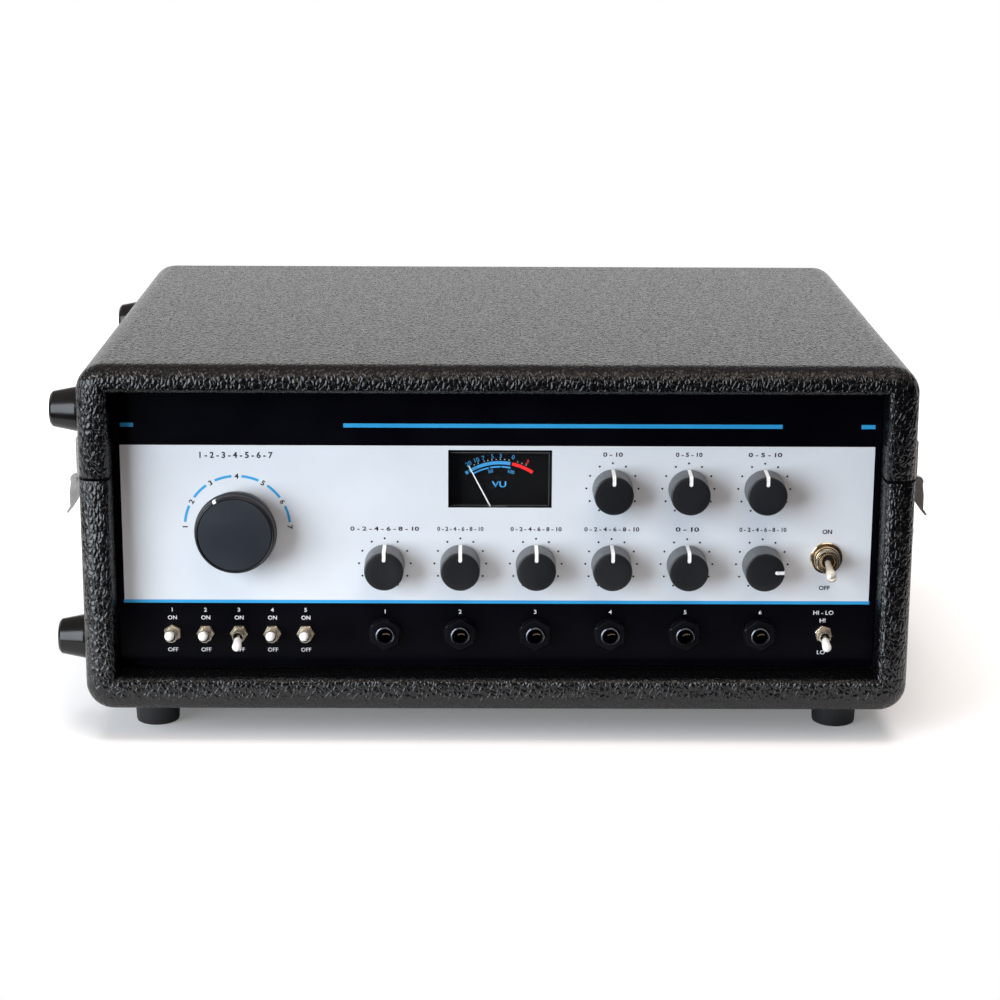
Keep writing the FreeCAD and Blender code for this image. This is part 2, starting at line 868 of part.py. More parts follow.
switches = new_body("switch_bodies")
nuts = new_body("switch_nuts")
LARGE_SWITCH = ("power_lever", "right_switch_x", "power_switch_rise", False)
for kind, group in (("small", SMALL_SWITCHES), ("large", [LARGE_SWITCH])):
    across, high = f"{kind}_switch_width / 2", f"{kind}_switch_height / 2"
    for _, x, rise, _ in group:
        z = f"(foot_height + {rise})"
        pad(
            switches,
            "XZ",
            PANEL_BACK,
            f"{PANEL_BACK} + {kind}_switch_depth",
            rectangle(f"{x} - {across}", f"{z} - {high}", f"{x} + {across}", f"{z} + {high}"),
        )
        pad(
            switches,
            "XZ",
            f"{PANEL} - {kind}_barrel_proud",
            f"{PANEL_BACK} + 1",
            disc(x, z, f"{kind}_barrel_radius"),
        )
        # three blade tags at the back
        for tag in (-1, 0, 1):
            tag_z = f"{z} + {tag} * {kind}_switch_height * 0.32"
            pad(
                switches,
                "XZ",
                f"{PANEL_BACK} + {kind}_switch_depth",
                f"{PANEL_BACK} + {kind}_switch_depth + switch_tag_length",
                rectangle(
                    f"{x} - switch_tag_width / 2",
                    f"{tag_z} - tag_thick / 2",
                    f"{x} + switch_tag_width / 2",
                    f"{tag_z} + tag_thick / 2",
                ),
            )
    pocket(
        switches,
        "XZ",
        f"{PANEL} - {kind}_barrel_proud - 1",
        f"{PANEL_BACK} + 3",
        *[disc(x, f"foot_height + {rise}", f"{kind}_barrel_bore") for _, x, rise, _ in group],
    )
pad(
    nuts,
    "XZ",
    f"{PANEL} - small_nut_thick",
    PANEL,
    *[
        draw
        for _, x, rise, _ in SMALL_SWITCHES
        for draw in (
            hexagon(x, f"foot_height + {rise}", "small_nut_flats"),
            disc(x, f"foot_height + {rise}", "small_barrel_radius + shaft_fit"),
        )
    ],
)
power_z = "(foot_height + power_switch_rise)"
large_washer = disc("right_switch_x", power_z, "large_washer_radius")
pad(nuts, "XZ", f"{PANEL} - large_washer_thick", PANEL, large_washer)
pad(
    nuts,
    "XZ",
    f"{PANEL} - large_washer_thick - large_nut_thick",
    f"{PANEL} - large_washer_thick",
    hexagon("right_switch_x", power_z, "large_nut_flats"),
)
pocket(
    nuts,
    "XZ",
    f"{PANEL} - large_washer_thick - large_nut_thick - 1",
    f"{PANEL} + 1",
    disc("right_switch_x", power_z, "large_barrel_radius + shaft_fit"),
)


def lever(label, x, rise, up, kind):
    """A bat lever with a ball that rocks in its barrel; its own -Y runs from the ball to the tip."""
    body = new_body(label)
    ball, tip = f"{kind}_ball_radius", f"{kind}_lever_tip"
    ball_feature(body, ball)
    length = f"{kind}_lever_length"
    turn(
        body,
        "Y",
        [
            ("0", "0"),
            ("0", f"{kind}_lever_root"),
            (f"-{length} * 0.45", f"{kind}_lever_root"),
            (f"-{length} + {tip} * 1.6", tip),
            (f"-{length} + {tip} * 0.45", f"{tip} * 0.92"),
            (f"-{length} + {tip} * 0.1", f"{tip} * 0.5"),
            (f"-{length}", "0"),
        ],
    )
    # about +X a positive turn swings -Y downwards
    tilt(body, FreeCAD.Vector(1, 0, 0), "-lever_tilt" if up else "lever_tilt")
    place(body, x, f"{PANEL} - {kind}_ball_depth", f"foot_height + {rise}")
    return body


for label, x, rise, up in SMALL_SWITCHES:
    lever(label, x, rise, up, "small")
lever(*LARGE_SWITCH, "large")

# ---- level meter ----------------------------------------------------------------------------

meter_low = f"({METER_PIVOT} - meter_margin - meter_pivot_gap)"
meter_high = "(foot_height + meter_window_high + meter_margin)"
meter_left = f"({METER_LEFT} - meter_margin)"
meter_right = f"({METER_RIGHT} + meter_margin)"
meter_housing = new_body("meter_housing")
pad(
    meter_housing,
    "XZ",
    PANEL_BACK,
    f"{PANEL_BACK} + meter_depth + meter_wall",
    rectangle(
        f"{meter_left} - meter_wall",
        f"{meter_low} - meter_wall",
        f"{meter_right} + meter_wall",
        f"{meter_high} + meter_wall",
    ),
)
pocket(
    meter_housing,
    "XZ",
    f"{PANEL_BACK} - 1",
    f"{PANEL_BACK} + meter_dial_depth + meter_dial_thick",
    rectangle(meter_left, meter_low, meter_right, meter_high),
)
pocket(
    meter_housing,
    "XZ",
    f"{PANEL_BACK} + meter_dial_depth",
    f"{PANEL_BACK} + meter_depth",
    rectangle(
        f"{meter_left} + meter_ledge",
        f"{meter_low} + meter_ledge",
        f"{meter_right} - meter_ledge",
        f"{meter_high} - meter_ledge",
    ),
)
# the movement's coil stands on the back wall and carries the needle's staff
turn(
    meter_housing,
    "Y",
    [
        ("meter_depth + 1", "0"),
        ("meter_depth + 1", "coil_radius"),
        ("meter_dial_depth + meter_dial_thick + coil_gap", "coil_radius"),
        ("meter_dial_depth + meter_dial_thick + coil_gap", "needle_staff_radius + shaft_fit"),
        ("meter_depth", "needle_staff_radius + shaft_fit"),
        ("meter_depth", "0"),
    ],
    ("meter_x", PANEL_BACK, METER_PIVOT),
)
meter_dial = new_body("meter_dial")
pad(
    meter_dial,
    "XZ",
    f"{PANEL_BACK} + meter_dial_depth",
    f"{PANEL_BACK} + meter_dial_depth + meter_dial_thick",
    rectangle(
        f"{meter_left} + hole_gap",
        f"{meter_low} + hole_gap",
        f"{meter_right} - hole_gap",
        f"{meter_high} - hole_gap",
    ),
)
doc.recompute()
pocket(
    meter_dial,
    "XZ",
    f"{PANEL_BACK} + meter_dial_depth - 1",
    f"{PANEL_BACK} + meter_dial_depth + meter_dial_thick + 1",
    disc("meter_x", METER_PIVOT, "needle_staff_radius * 2"),
)
meter_window = new_body("meter_window")
pad(
    meter_window,
    "XZ",
    PANEL_BACK,
    f"{PANEL_BACK} + meter_pane",
    rectangle(
        f"{meter_left} + hole_gap",
        f"{meter_low} + hole_gap",
        f"{meter_right} - hole_gap",
        f"{meter_high} - hole_gap",
    ),
)
meter_needle = new_body("meter_needle")
pad(
    meter_needle,
    "XZ",
    "-needle_thick",
    "0",
    outline(
        ("-needle_width * 0.8", "-needle_hub_radius * 2.2"),
        ("needle_width * 0.8", "-needle_hub_radius * 2.2"),
        ("needle_width / 2", "0"),
        ("needle_width * 0.3", "needle_length"),
        ("-needle_width * 0.3", "needle_length"),
        ("-needle_width / 2", "0"),
    ),
)
turn(
    meter_needle,
    "Y",
    [
        ("-needle_thick - 0.4", "0"),
        ("-needle_thick - 0.4", "needle_hub_radius"),
        ("0.4", "needle_hub_radius"),
        ("0.4", "needle_staff_radius"),
        ("meter_depth - meter_dial_depth / 2 - 1", "needle_staff_radius"),
        ("meter_depth - meter_dial_depth / 2 - 1", "0"),
    ],
)
tilt(meter_needle, FreeCAD.Vector(0, 1, 0), "-needle_rest_angle")
place(meter_needle, "meter_x", f"{PANEL_BACK} + meter_dial_depth / 2 + meter_pane / 2", METER_PIVOT)

# ---- chassis tray and deck ------------------------------------------------------------------

tray_side = f"({INNER} - tray_side_gap)"
tray_front = f"({PANEL_BACK} + 1)"
tray_back = f"({BACK} - back_wall - 2)"
deck_side = f"({INNER} - deck_side_gap)"
deck_front = f"({PANEL} + deck_front)"
deck_back = f"({BACK} - back_wall - deck_side_gap)"
POSTS = [
    (f"{side} * ({deck_side} - post_inset)", along)
    for side in (-1, 1)
    for along in (f"{deck_front} + post_inset", f"{deck_back} - post_inset")
]
chassis_tray = new_body("chassis_tray")
pad(chassis_tray, "XY", FLOOR, TRAY_TOP, rectangle(f"-{tray_side}", tray_front, tray_side, tray_back))
pad(
    chassis_tray,
    "XY",
    FLOOR,
    f"{TRAY_TOP} + tray_rim",
    rectangle(f"-{tray_side}", f"{tray_back} - tray_thick", tray_side, tray_back),
)
for left, right in (
    (f"-{tray_side}", f"-{tray_side} + tray_thick"),
    (f"{tray_side} - tray_thick", tray_side),
):
    pad(
        chassis_tray,
        "XY",
        FLOOR,
        f"{TRAY_TOP} + tray_rim",
        rectangle(left, f"{PANEL_BACK} + panel_flange + 2", right, tray_back),
    )
pad(
    chassis_tray,
    "XY",
    f"{FLOOR} + tray_thick / 2",
    f"{DECK} - deck_thick",
    *[disc(x, y, "post_radius") for x, y in POSTS],
)

pivot_at = ("pinch_pivot_x", PINCH_Y, DECK)
pivot_top = "(pinch_arm_rise + pinch_arm_thick + 2 + tape_gap)"
deck_plate = new_body("deck_plate")
pad(
    deck_plate,
    "XY",
    f"{DECK} - deck_thick",
    DECK,
    rectangle(f"-{deck_side}", deck_front, deck_side, deck_back),
)
pocket(
    deck_plate,
    "XY",
    f"{DECK} - deck_thick - 1",
    f"{DECK} + 1",
    disc("capstan_x", CAPSTAN_Y, "shaft_radius * 2"),
)
# the post that the pinch arm swings on is riveted into the deck
turn(
    deck_plate,
    "Z",
    [
        ("-deck_thick / 2", "0"),
        ("-deck_thick / 2", "pinch_hub_radius - 1"),
        ("pinch_arm_rise - tape_gap", "pinch_hub_radius - 1"),
        ("pinch_arm_rise - tape_gap", "shaft_radius"),
        (pivot_top, "shaft_radius"),
        (pivot_top, "shaft_radius * 1.5"),
        (f"{pivot_top} + pinch_cap_thick", "shaft_radius * 1.5"),
        (f"{pivot_top} + pinch_cap_thick", "0"),
    ],
    pivot_at,
)

# ---- capstan and its motor under the deck ---------------------------------------------------

motor_low = "(-deck_thick - motor_length)"
capstan_motor = new_body("capstan_motor")
turn(
    capstan_motor,
    "Z",
    [
        ("-deck_thick", "shaft_radius + shaft_fit"),
        ("-deck_thick", "motor_radius + motor_flange"),
        ("-deck_thick - 2", "motor_radius + motor_flange"),
        ("-deck_thick - 2", "motor_radius"),
        (f"{motor_low} + 2", "motor_radius"),
        (motor_low, "motor_radius - 2"),
        (motor_low, "shaft_radius + shaft_fit"),
    ],
    ("capstan_x", CAPSTAN_Y, DECK),
)
wheel_top = f"({motor_low} - flywheel_gap)"
capstan = new_body("capstan_flywheel")
turn(
    capstan,
    "Z",
    [
        ("capstan_rise", "0"),
        ("capstan_rise", "shaft_radius - 0.6"),
        ("capstan_rise - 0.6", "shaft_radius"),
        (f"{motor_low} - flywheel_gap / 2", "shaft_radius"),
        (f"{motor_low} - flywheel_gap / 2", "shaft_radius * 2"),
        (wheel_top, "shaft_radius * 2"),
        (f"{wheel_top} - 2", "shaft_radius * 3"),
        (f"{wheel_top} - 2", "flywheel_radius * 0.72"),
        (wheel_top, "flywheel_radius * 0.76"),
        (wheel_top, "flywheel_radius - 0.8"),
        (f"{wheel_top} - 0.8", "flywheel_radius"),
        (f"{wheel_top} - flywheel_thick + 0.8", "flywheel_radius"),
        (f"{wheel_top} - flywheel_thick", "flywheel_radius - 0.8"),
        (f"{wheel_top} - flywheel_thick", "0"),
    ],
    ("capstan_x", CAPSTAN_Y, DECK),
)
# three lightening holes show that the wheel turns
spokes = []
for hole in range(3):
    turned = math.radians(90 + 120 * hole)
    reach = "flywheel_radius * 0.5"
    spokes.append(
        disc(
            f"capstan_x + {reach} * {math.cos(turned):.6f}",
            f"{CAPSTAN_Y} + {reach} * {math.sin(turned):.6f}",
            "flywheel_radius * 0.14",
        )
    )
pocket(capstan, "XY", f"{DECK} + {wheel_top} - flywheel_thick - 1", f"{DECK} + {wheel_top} + 1", *spokes)

# ---- tape heads on their plate, with guides -------------------------------------------------

head_face = f"({TAPE_LINE} + tape_thick / 2 + tape_gap)"
guide_y = f"({TAPE_LINE} + tape_thick / 2 + tape_gap + guide_radius)"
corner_y = f"({TAPE_LINE} + tape_corner_radius)"
plate_top = f"({DECK} + head_plate_thick)"
head_mount = new_body("head_mount")
pad(
    head_mount,
    "XY",
    DECK,
    plate_top,
    rectangle(
        "tape_left_x - 4", f"{TAPE_LINE} - 2", "tape_right_x + 4", f"{TAPE_LINE} - 2 + head_plate_width"
    ),
)
pocket(
    head_mount,
    "XY",
    f"{DECK} - 1",
    f"{plate_top} + 1",
    disc("capstan_x", CAPSTAN_Y, "shaft_radius * 2"),
)
for x, y, radius in (
    ("tape_left_x + tape_corner_radius", corner_y, "(tape_corner_radius - tape_thick / 2 - tape_gap)"),
    ("tape_right_x - tape_corner_radius", corner_y, "(tape_corner_radius - tape_thick / 2 - tape_gap)"),
    ("head_first_x - head_side", guide_y, "guide_radius"),
    ("head_first_x + head_count * head_pitch - head_side", guide_y, "guide_radius"),
):
    top = "(head_plate_thick + tape_gap + tape_width + tape_gap)"
    turn(
        head_mount,
        "Z",
        [
            ("head_plate_thick / 2", "0"),
            ("head_plate_thick / 2", radius),
            (top, radius),
            (top, f"{radius} + 1.6"),
            (f"{top} + 1.4", f"{radius} + 1.6"),
            (f"{top} + 2.2", f"{radius} * 0.6"),
            (f"{top} + 2.2", "0"),
        ],
        (x, y, DECK),
    )

# erase and record at the left, then the playback heads
tape_heads = new_body("tape_heads")
for index in range(round(value("head_count"))):
    x = f"(head_first_x + {index} * head_pitch)"
    side = "head_side / 2"
    pad(
        tape_heads,
        "XY",
        plate_top,
        f"{plate_top} + head_height",
        outline(
            (f"{x} - {side}", f"{head_face} + 4"),
            (f"{x} - {side} * 0.55", f"{head_face} + 0.8"),
            (f"{x} - {side} * 0.2", head_face),
            (f"{x} + {side} * 0.2", head_face),
            (f"{x} + {side} * 0.55", f"{head_face} + 0.8"),
            (f"{x} + {side}", f"{head_face} + 4"),
            (f"{x} + {side}", f"{head_face} + head_depth"),
            (f"{x} - {side}", f"{head_face} + head_depth"),
        ),
    )
    # contact pins at the back
    pad(
        tape_heads,
        "XZ",
        f"{head_face} + head_depth",
        f"{head_face} + head_depth + 3",
        *[
            disc(f"{x} + {across}", f"{plate_top} + head_height * {up}", "0.5")
            for across in (-2.5, 2.5)
            for up in (0.35, 0.65)
        ],
    )

# ---- pinch arm and roller -------------------------------------------------------------------

arm_low = "pinch_arm_rise"
arm_high = "(pinch_arm_rise + pinch_arm_thick)"
pinch_arm = new_body("pinch_arm")
pad(
    pinch_arm,
    "XY",
    arm_low,
    arm_high,
    outline(
        ("-pinch_arm_length", "-pinch_arm_width / 2"),
        ("pinch_tail", "-pinch_arm_width / 2"),
        ("pinch_tail", "pinch_arm_width / 2"),
        ("-pinch_arm_length", "pinch_arm_width / 2"),
    ),
)
pad(
    pinch_arm,
    "XY",
    arm_low,
    f"{arm_high} + 2",
    disc("0", "0", "pinch_hub_radius"),
)
pad(pinch_arm, "XY", arm_low, arm_high, disc("-pinch_arm_length", "0", "pinch_arm_width * 0.62"))
# the roller's axle hangs from the arm and ends in a collar
roller_low = f"({arm_low} - tape_gap - roller_height)"
turn(
    pinch_arm,
    "Z",
    [
        (f"{arm_low} + 1", "0"),
        (f"{arm_low} + 1", "roller_axle_radius"),
        (f"{roller_low} - tape_gap", "roller_axle_radius"),
        (f"{roller_low} - tape_gap", "roller_axle_radius * 2"),
        (f"{roller_low} - tape_gap - 1", "roller_axle_radius * 2"),
        (f"{roller_low} - tape_gap - 1", "0"),
    ],
    ("-pinch_arm_length", "0", "0"),
)
pocket(
    pinch_arm,
    "XY",
    f"{arm_low} - 1",
    f"{arm_high} + 3",
    disc("0", "0", "shaft_radius + shaft_fit"),
)
tilt(pinch_arm, FreeCAD.Vector(0, 0, 1), "pinch_rest_angle")
place(pinch_arm, "pinch_pivot_x", PINCH_Y, DECK)

pinch_roller = new_body("pinch_roller")
turn(
    pinch_roller,
    "Z",
    [
        (roller_low, "roller_axle_radius + shaft_fit"),
        (roller_low, "roller_radius - 0.6"),
        (f"{roller_low} + 0.6", "roller_radius"),
        (f"{roller_low} + roller_height - 0.6", "roller_radius"),
        (f"{roller_low} + roller_height", "roller_radius - 0.6"),
        (f"{roller_low} + roller_height", "roller_axle_radius + shaft_fit"),
    ],
)
place(
    pinch_roller,
    "pinch_pivot_x - pinch_arm_length * cos(pinch_rest_angle)",
    f"{PINCH_Y} - pinch_arm_length * sin(pinch_rest_angle)",
    DECK,
)

# the magnet that pulls the arm's tail stands on the deck in front of it
tail_y = f"({PINCH_Y} + pinch_tail * sin(pinch_rest_angle - pinch_swing))"
pole_face = f"({tail_y} - pinch_arm_width * 0.55)"
magnet_x = "(pinch_pivot_x + pinch_tail)"
solenoid = new_body("pinch_solenoid")
pad(
    solenoid,
    "XY",
    DECK,
    f"{DECK} + pinch_arm_rise + pinch_arm_thick + magnet_rise",
    rectangle(
        f"{magnet_x} - magnet_width / 2",
        f"{deck_front} + 2",
        f"{magnet_x} + magnet_width / 2",
        f"{pole_face} - pole_length",
    ),
)
pad(
    solenoid,
    "XZ",
    f"{pole_face} - pole_length - 0.5",
    pole_face,
    rectangle(
        f"{magnet_x} - pole_width / 2",
        f"{DECK} + pinch_arm_rise - 1",
        f"{magnet_x} + pole_width / 2",
        f"{DECK} + pinch_arm_rise + pinch_arm_thick + 1",
    ),
)

# ---- the bin that the loop of tape lies in, its clear cover and thumb screws ----------------

bin_top = f"({DECK} + bin_height)"
tape_tray = new_body("tape_tray")
pad(tape_tray, "XY", DECK, bin_top, rectangle("bin_left", BIN_FRONT, "bin_right", BIN_BACK))
pocket(
    tape_tray,
    "XY",
    f"{DECK} + bin_floor",
    f"{bin_top} + 1",
    rectangle(
        "bin_left + bin_wall", f"{BIN_FRONT} + bin_wall", "bin_right - bin_wall", f"{BIN_BACK} - bin_wall"
    ),
)
pocket(
    tape_tray,
    "XY",
    f"{DECK} + bin_floor",
    f"{bin_top} + 1",
    *[
        rectangle(
            f"{x} - bin_slot / 2", f"{BIN_FRONT} - 1", f"{x} + bin_slot / 2", f"{BIN_FRONT} + bin_wall + 1"
        )
        for x in ("tape_left_x", "tape_right_x")
    ],
)
BOSSES = [
    (x, y)
    for x in ("(bin_left + bin_boss_radius + 1)", "(bin_right - bin_boss_radius - 1)")
    for y in (f"({BIN_FRONT} + bin_boss_radius + 1)", f"({BIN_BACK} - bin_boss_radius - 1)")
]
pad(tape_tray, "XY", f"{DECK} + bin_floor / 2", bin_top, *[disc(x, y, "bin_boss_radius") for x, y in BOSSES])
stem_low = f"({bin_top} - thumb_hole_depth)"
pocket(
    tape_tray,
    "XY",
    stem_low,
    f"{bin_top} + 1",
    *[disc(x, y, "thumb_stem_radius + shaft_fit") for x, y in BOSSES],
)
tape_cover = new_body("tape_cover")
pad(
    tape_cover,
    "XY",
    bin_top,
    f"{bin_top} + cover_thick",
    rectangle("bin_left", BIN_FRONT, "bin_right", BIN_BACK),
    *[disc(x, y, "thumb_stem_radius + hole_gap") for x, y in BOSSES],
)
cover_screws = new_body("cover_screws")
for x, y in BOSSES:
    turn(
        cover_screws,
        "Z",
        [
            ("-bin_height / 2", "0"),
            ("-bin_height / 2", "thumb_stem_radius"),
            ("cover_thick", "thumb_stem_radius"),
            ("cover_thick", "thumb_radius - 0.5"),
            ("cover_thick + 0.8", "thumb_radius"),
            ("cover_thick + thumb_height - 0.8", "thumb_radius"),
            ("cover_thick + thumb_height", "thumb_radius - 0.8"),
            ("cover_thick + thumb_height", "0"),
        ],
        (x, y, bin_top),
    )

# ---- the endless loop of tape ---------------------------------------------------------------


def rounded_loop(corners):
    """A closed wire of straight runs joined by tangent arcs; corners are (x, y, radius)."""
    spots = [FreeCAD.Vector(x, y, 0) for x, y, _ in corners]
    count = len(spots)
    arcs = []
    for i, (_, _, radius) in enumerate(corners):
        back = (spots[i - 1] - spots[i]).normalize()
        ahead = (spots[(i + 1) % count] - spots[i]).normalize()
        half_angle = back.getAngle(ahead) / 2
        trim = radius / math.tan(half_angle)
        middle = (back + ahead).normalize() * (radius / math.sin(half_angle) - radius)
        arcs.append((spots[i] + back * trim, spots[i] + middle, spots[i] + ahead * trim))
    edges = []
    for i, (start, through, end) in enumerate(arcs):
        edges.append(Part.Arc(start, through, end).toShape())
        edges.append(Part.LineSegment(end, arcs[(i + 1) % count][0]).toShape())
    return Part.Wire(edges)


left, right = value("tape_left_x"), value("tape_right_x")
line_y, tight = value(TAPE_LINE), value("tape_corner_radius")
# the slack lies in folds of uneven depth, standing on its edge: share of the bin's depth at each turn
near_y, far_y = value(f"{BIN_FRONT} + fold_gap_front"), value(f"{BIN_BACK} - fold_gap_back")
FOLD_ENDS = (0.96, 0.05, 0.88, 0.16, 1.0)
fold = (right - left) / len(FOLD_ENDS)
corners = [(left, line_y, tight), (right, line_y, tight)]
for index, share in enumerate(FOLD_ENDS):
    y = near_y + (far_y - near_y) * share
    slant = fold * (0.06 if index % 2 else -0.05)
    corners.append((right - fold * index, y + slant, fold * 0.45))
    corners.append((right - fold * (index + 1), y - slant, fold * 0.45))
loop = rounded_loop(corners)
half_tape = value("tape_thick") / 2
ring = Part.Face(loop.makeOffset2D(half_tape)).cut(Part.Face(loop.makeOffset2D(-half_tape)))
tape = doc.addObject("Part::Feature", "tape_loop")
tape.Shape = ring.Faces[0].extrude(FreeCAD.Vector(0, 0, value("tape_width")))
keep(tape, "tape_loop")
place(tape, "0", "0", TAPE_LOW)

# ---- on the chassis tray: transformer, reverb tank and main board ---------------------------

power_transformer = new_body("power_transformer")
px = f"({tray_side} - transformer_width / 2 - transformer_gap_side)"
py = f"({tray_back} - transformer_depth / 2 - transformer_gap_back)"


def about_transformer(half_width, half_depth):
    return rectangle(
        f"{px} - {half_width}", f"{py} - {half_depth}", f"{px} + {half_width}", f"{py} + {half_depth}"
    )


# its foot, the stack of laminations and the winding through the stack
foot_top = f"({TRAY_TOP} + transformer_foot_thick)"
foot_plan = about_transformer("(transformer_width / 2 + transformer_foot)", "transformer_depth * 0.3")
pad(power_transformer, "XY", TRAY_TOP, foot_top, foot_plan)
stack_plan = about_transformer("transformer_width / 2", "transformer_depth * 0.25")
pad(power_transformer, "XY", foot_top, f"{TRAY_TOP} + transformer_height", stack_plan)
pad(
    power_transformer,
    "XY",
    f"{TRAY_TOP} + transformer_height * 0.2",
    f"{TRAY_TOP} + transformer_height * 0.8",
    about_transformer("transformer_width * 0.3", "transformer_depth / 2"),
)
soften(
    power_transformer,
    "Fillet",
    "winding_round",
    lambda e: runs_along(e, "Z")
    and any(lies_at(e, "Y", f"{py} + {way} * transformer_depth / 2") for way in (-1, 1)),
)

reverb_tank = new_body("reverb_tank")
tank_left = f"(-{tray_side} + tank_gap_side)"
tank_front = f"({tray_back} - tank_width - tank_gap_back)"
pad(
    reverb_tank,
    "XY",
    TRAY_TOP,
    f"{TRAY_TOP} + tank_height",
    rectangle(tank_left, tank_front, f"{tank_left} + tank_length", f"{tank_front} + tank_width"),
)
pocket(
    reverb_tank,
    "XY",
    f"{TRAY_TOP} + tank_wall",
    f"{TRAY_TOP} + tank_height + 1",
    rectangle(
        f"{tank_left} + tank_wall",
        f"{tank_front} + tank_wall",
        f"{tank_left} + tank_length - tank_wall",
        f"{tank_front} + tank_width - tank_wall",
    ),
)
# two end blocks in the tank, with three springs between them as rods
for end in ("tank_block", "(tank_length - tank_block * 2)"):
    pad(
        reverb_tank,
        "XY",
        f"{TRAY_TOP} + tank_wall / 2",
        f"{TRAY_TOP} + tank_height * 0.7",
        rectangle(
            f"{tank_left} + {end}",
            f"{tank_front} + tank_block_margin",
            f"{tank_left} + {end} + tank_block",
            f"{tank_front} + tank_width - tank_block_margin",
        ),
    )
pad(
    reverb_tank,
    "YZ",
    f"{tank_left} + tank_block * 1.5",
    f"{tank_left} + tank_length - tank_block * 1.5",
    *[
        disc(f"{tank_front} + tank_width * {share}", f"{TRAY_TOP} + tank_height / 2", "tank_rod_radius")
        for share in (0.3, 0.5, 0.7)
    ],
)

main_board = new_body("main_board")
board_left, board_right = f"(-{tray_side} + board_gap_left)", f"({tray_side} - board_gap_right)"
board_front = f"({PANEL_BACK} + socket_body_depth + board_gap_front)"
board_back = f"({tank_front} - board_gap_back)"
board_low, board_high = f"({TRAY_TOP} + board_rise)", f"({TRAY_TOP} + board_rise + board_thick)"


def on_board(across, along):
    """A point at two shares of the board, from its left edge and from its front edge."""
    return (
        f"({board_left} + ({board_right} - {board_left}) * {across})",
        f"({board_front} + ({board_back} - {board_front}) * {along})",
    )


posts = [
    disc(x, y, "board_post_radius")
    for x in (f"{board_left} + board_post_inset", f"{board_right} - board_post_inset")
    for y in (f"{board_front} + board_post_inset", f"{board_back} - board_post_inset")
]
pad(main_board, "XY", TRAY_TOP, board_low, *posts)
board_plan = rectangle(board_left, board_front, board_right, board_back)
pad(main_board, "XY", board_low, board_high, board_plan)
cans = [disc(*on_board(across, 0.75), "can_radius") for across in (0.7, 0.8, 0.9)]
pad(main_board, "XY", board_high, f"{board_high} + can_height", *cans)
chip_spots = [on_board(across, along) for across in (0.15, 0.32, 0.49) for along in (0.25, 0.5, 0.75)]
half_long, half_wide = "chip_length / 2", "chip_width / 2"
chips = [
    rectangle(f"{x} - {half_long}", f"{y} - {half_wide}", f"{x} + {half_long}", f"{y} + {half_wide}")
    for x, y in chip_spots
]
pad(main_board, "XY", board_high, f"{board_high} + chip_height", *chips)

# ---- back of the case: rear plate, mains inlet and lid hinges -------------------------------

plate_y = f"({BACK} - rear_rebate)"
inlet_z = "(foot_height + inlet_rise)"
inlet_half_w, inlet_half_h = "inlet_width / 2", "inlet_height / 2"
rear_panel = new_body("rear_panel")
vent_spots = [f"vent_first_x + {i} * vent_pitch" for i in range(round(value("vent_count")))]
vents = [
    rectangle(
        f"{x} - vent_width / 2",
        f"{inlet_z} - vent_height / 2",
        f"{x} + vent_width / 2",
        f"{inlet_z} + vent_height / 2",
    )
    for x in vent_spots
]
pad(
    rear_panel,
    "XZ",
    plate_y,
    f"{plate_y} + rear_plate_thick",
    rectangle(
        "-rear_plate_width / 2 - rear_lap + rear_plate_gap",
        f"{window_low} - rear_lap + rear_plate_gap",
        "rear_plate_width / 2 + rear_lap - rear_plate_gap",
        f"{window_high} + rear_lap - rear_plate_gap",
    ),
    rectangle(
        f"inlet_x - {inlet_half_w} - hole_gap",
        f"{inlet_z} - {inlet_half_h} - hole_gap",
        f"inlet_x + {inlet_half_w} + hole_gap",
        f"{inlet_z} + {inlet_half_h} + hole_gap",
    ),
    *vents,
)
flange_y = f"({plate_y} + rear_plate_thick)"
inlet_mouth = f"({flange_y} + inlet_flange_thick)"
mains_inlet = new_body("mains_inlet")
pad(
    mains_inlet,
    "XZ",
    flange_y,
    inlet_mouth,
    rectangle(
        f"inlet_x - {inlet_half_w} - inlet_flange",
        f"{inlet_z} - {inlet_half_h} - inlet_flange_lap",
        f"inlet_x + {inlet_half_w} + inlet_flange",
        f"{inlet_z} + {inlet_half_h} + inlet_flange_lap",
    ),
)
pad(
    mains_inlet,
    "XZ",
    f"{inlet_mouth} - inlet_depth - 2",
    flange_y,
    rectangle(
        f"inlet_x - {inlet_half_w}",
        f"{inlet_z} - {inlet_half_h}",
        f"inlet_x + {inlet_half_w}",
        f"{inlet_z} + {inlet_half_h}",
    ),
)
# the plug's recess has its two lower corners cut off
recess_left = f"(inlet_x - {inlet_half_w} + inlet_wall)"
recess_right = f"(inlet_x + {inlet_half_w} - inlet_wall)"
recess_low = f"({inlet_z} - {inlet_half_h} + inlet_wall)"
recess_high = f"({inlet_z} + {inlet_half_h} - inlet_wall)"
pocket(
    mains_inlet,
    "XZ",
    f"{inlet_mouth} - inlet_depth + 2",
    f"{inlet_mouth} + 1",
    outline(
        (recess_left, recess_high),
        (recess_left, f"{recess_low} + inlet_corner"),
        (f"{recess_left} + inlet_corner", recess_low),
        (f"{recess_right} - inlet_corner", recess_low),
        (recess_right, f"{recess_low} + inlet_corner"),
        (recess_right, recess_high),
    ),
)
inlet_pins = [
    rectangle(
        f"{x} - inlet_pin_width / 2",
        f"{z} - inlet_pin_height / 2",
        f"{x} + inlet_pin_width / 2",
        f"{z} + inlet_pin_height / 2",
    )
    for x, z in (
        ("inlet_x - inlet_pin_pitch", f"{inlet_z} - inlet_pin_drop"),
        ("inlet_x", f"{inlet_z} + inlet_pin_rise"),
        ("inlet_x + inlet_pin_pitch", f"{inlet_z} - inlet_pin_drop"),
    )
]
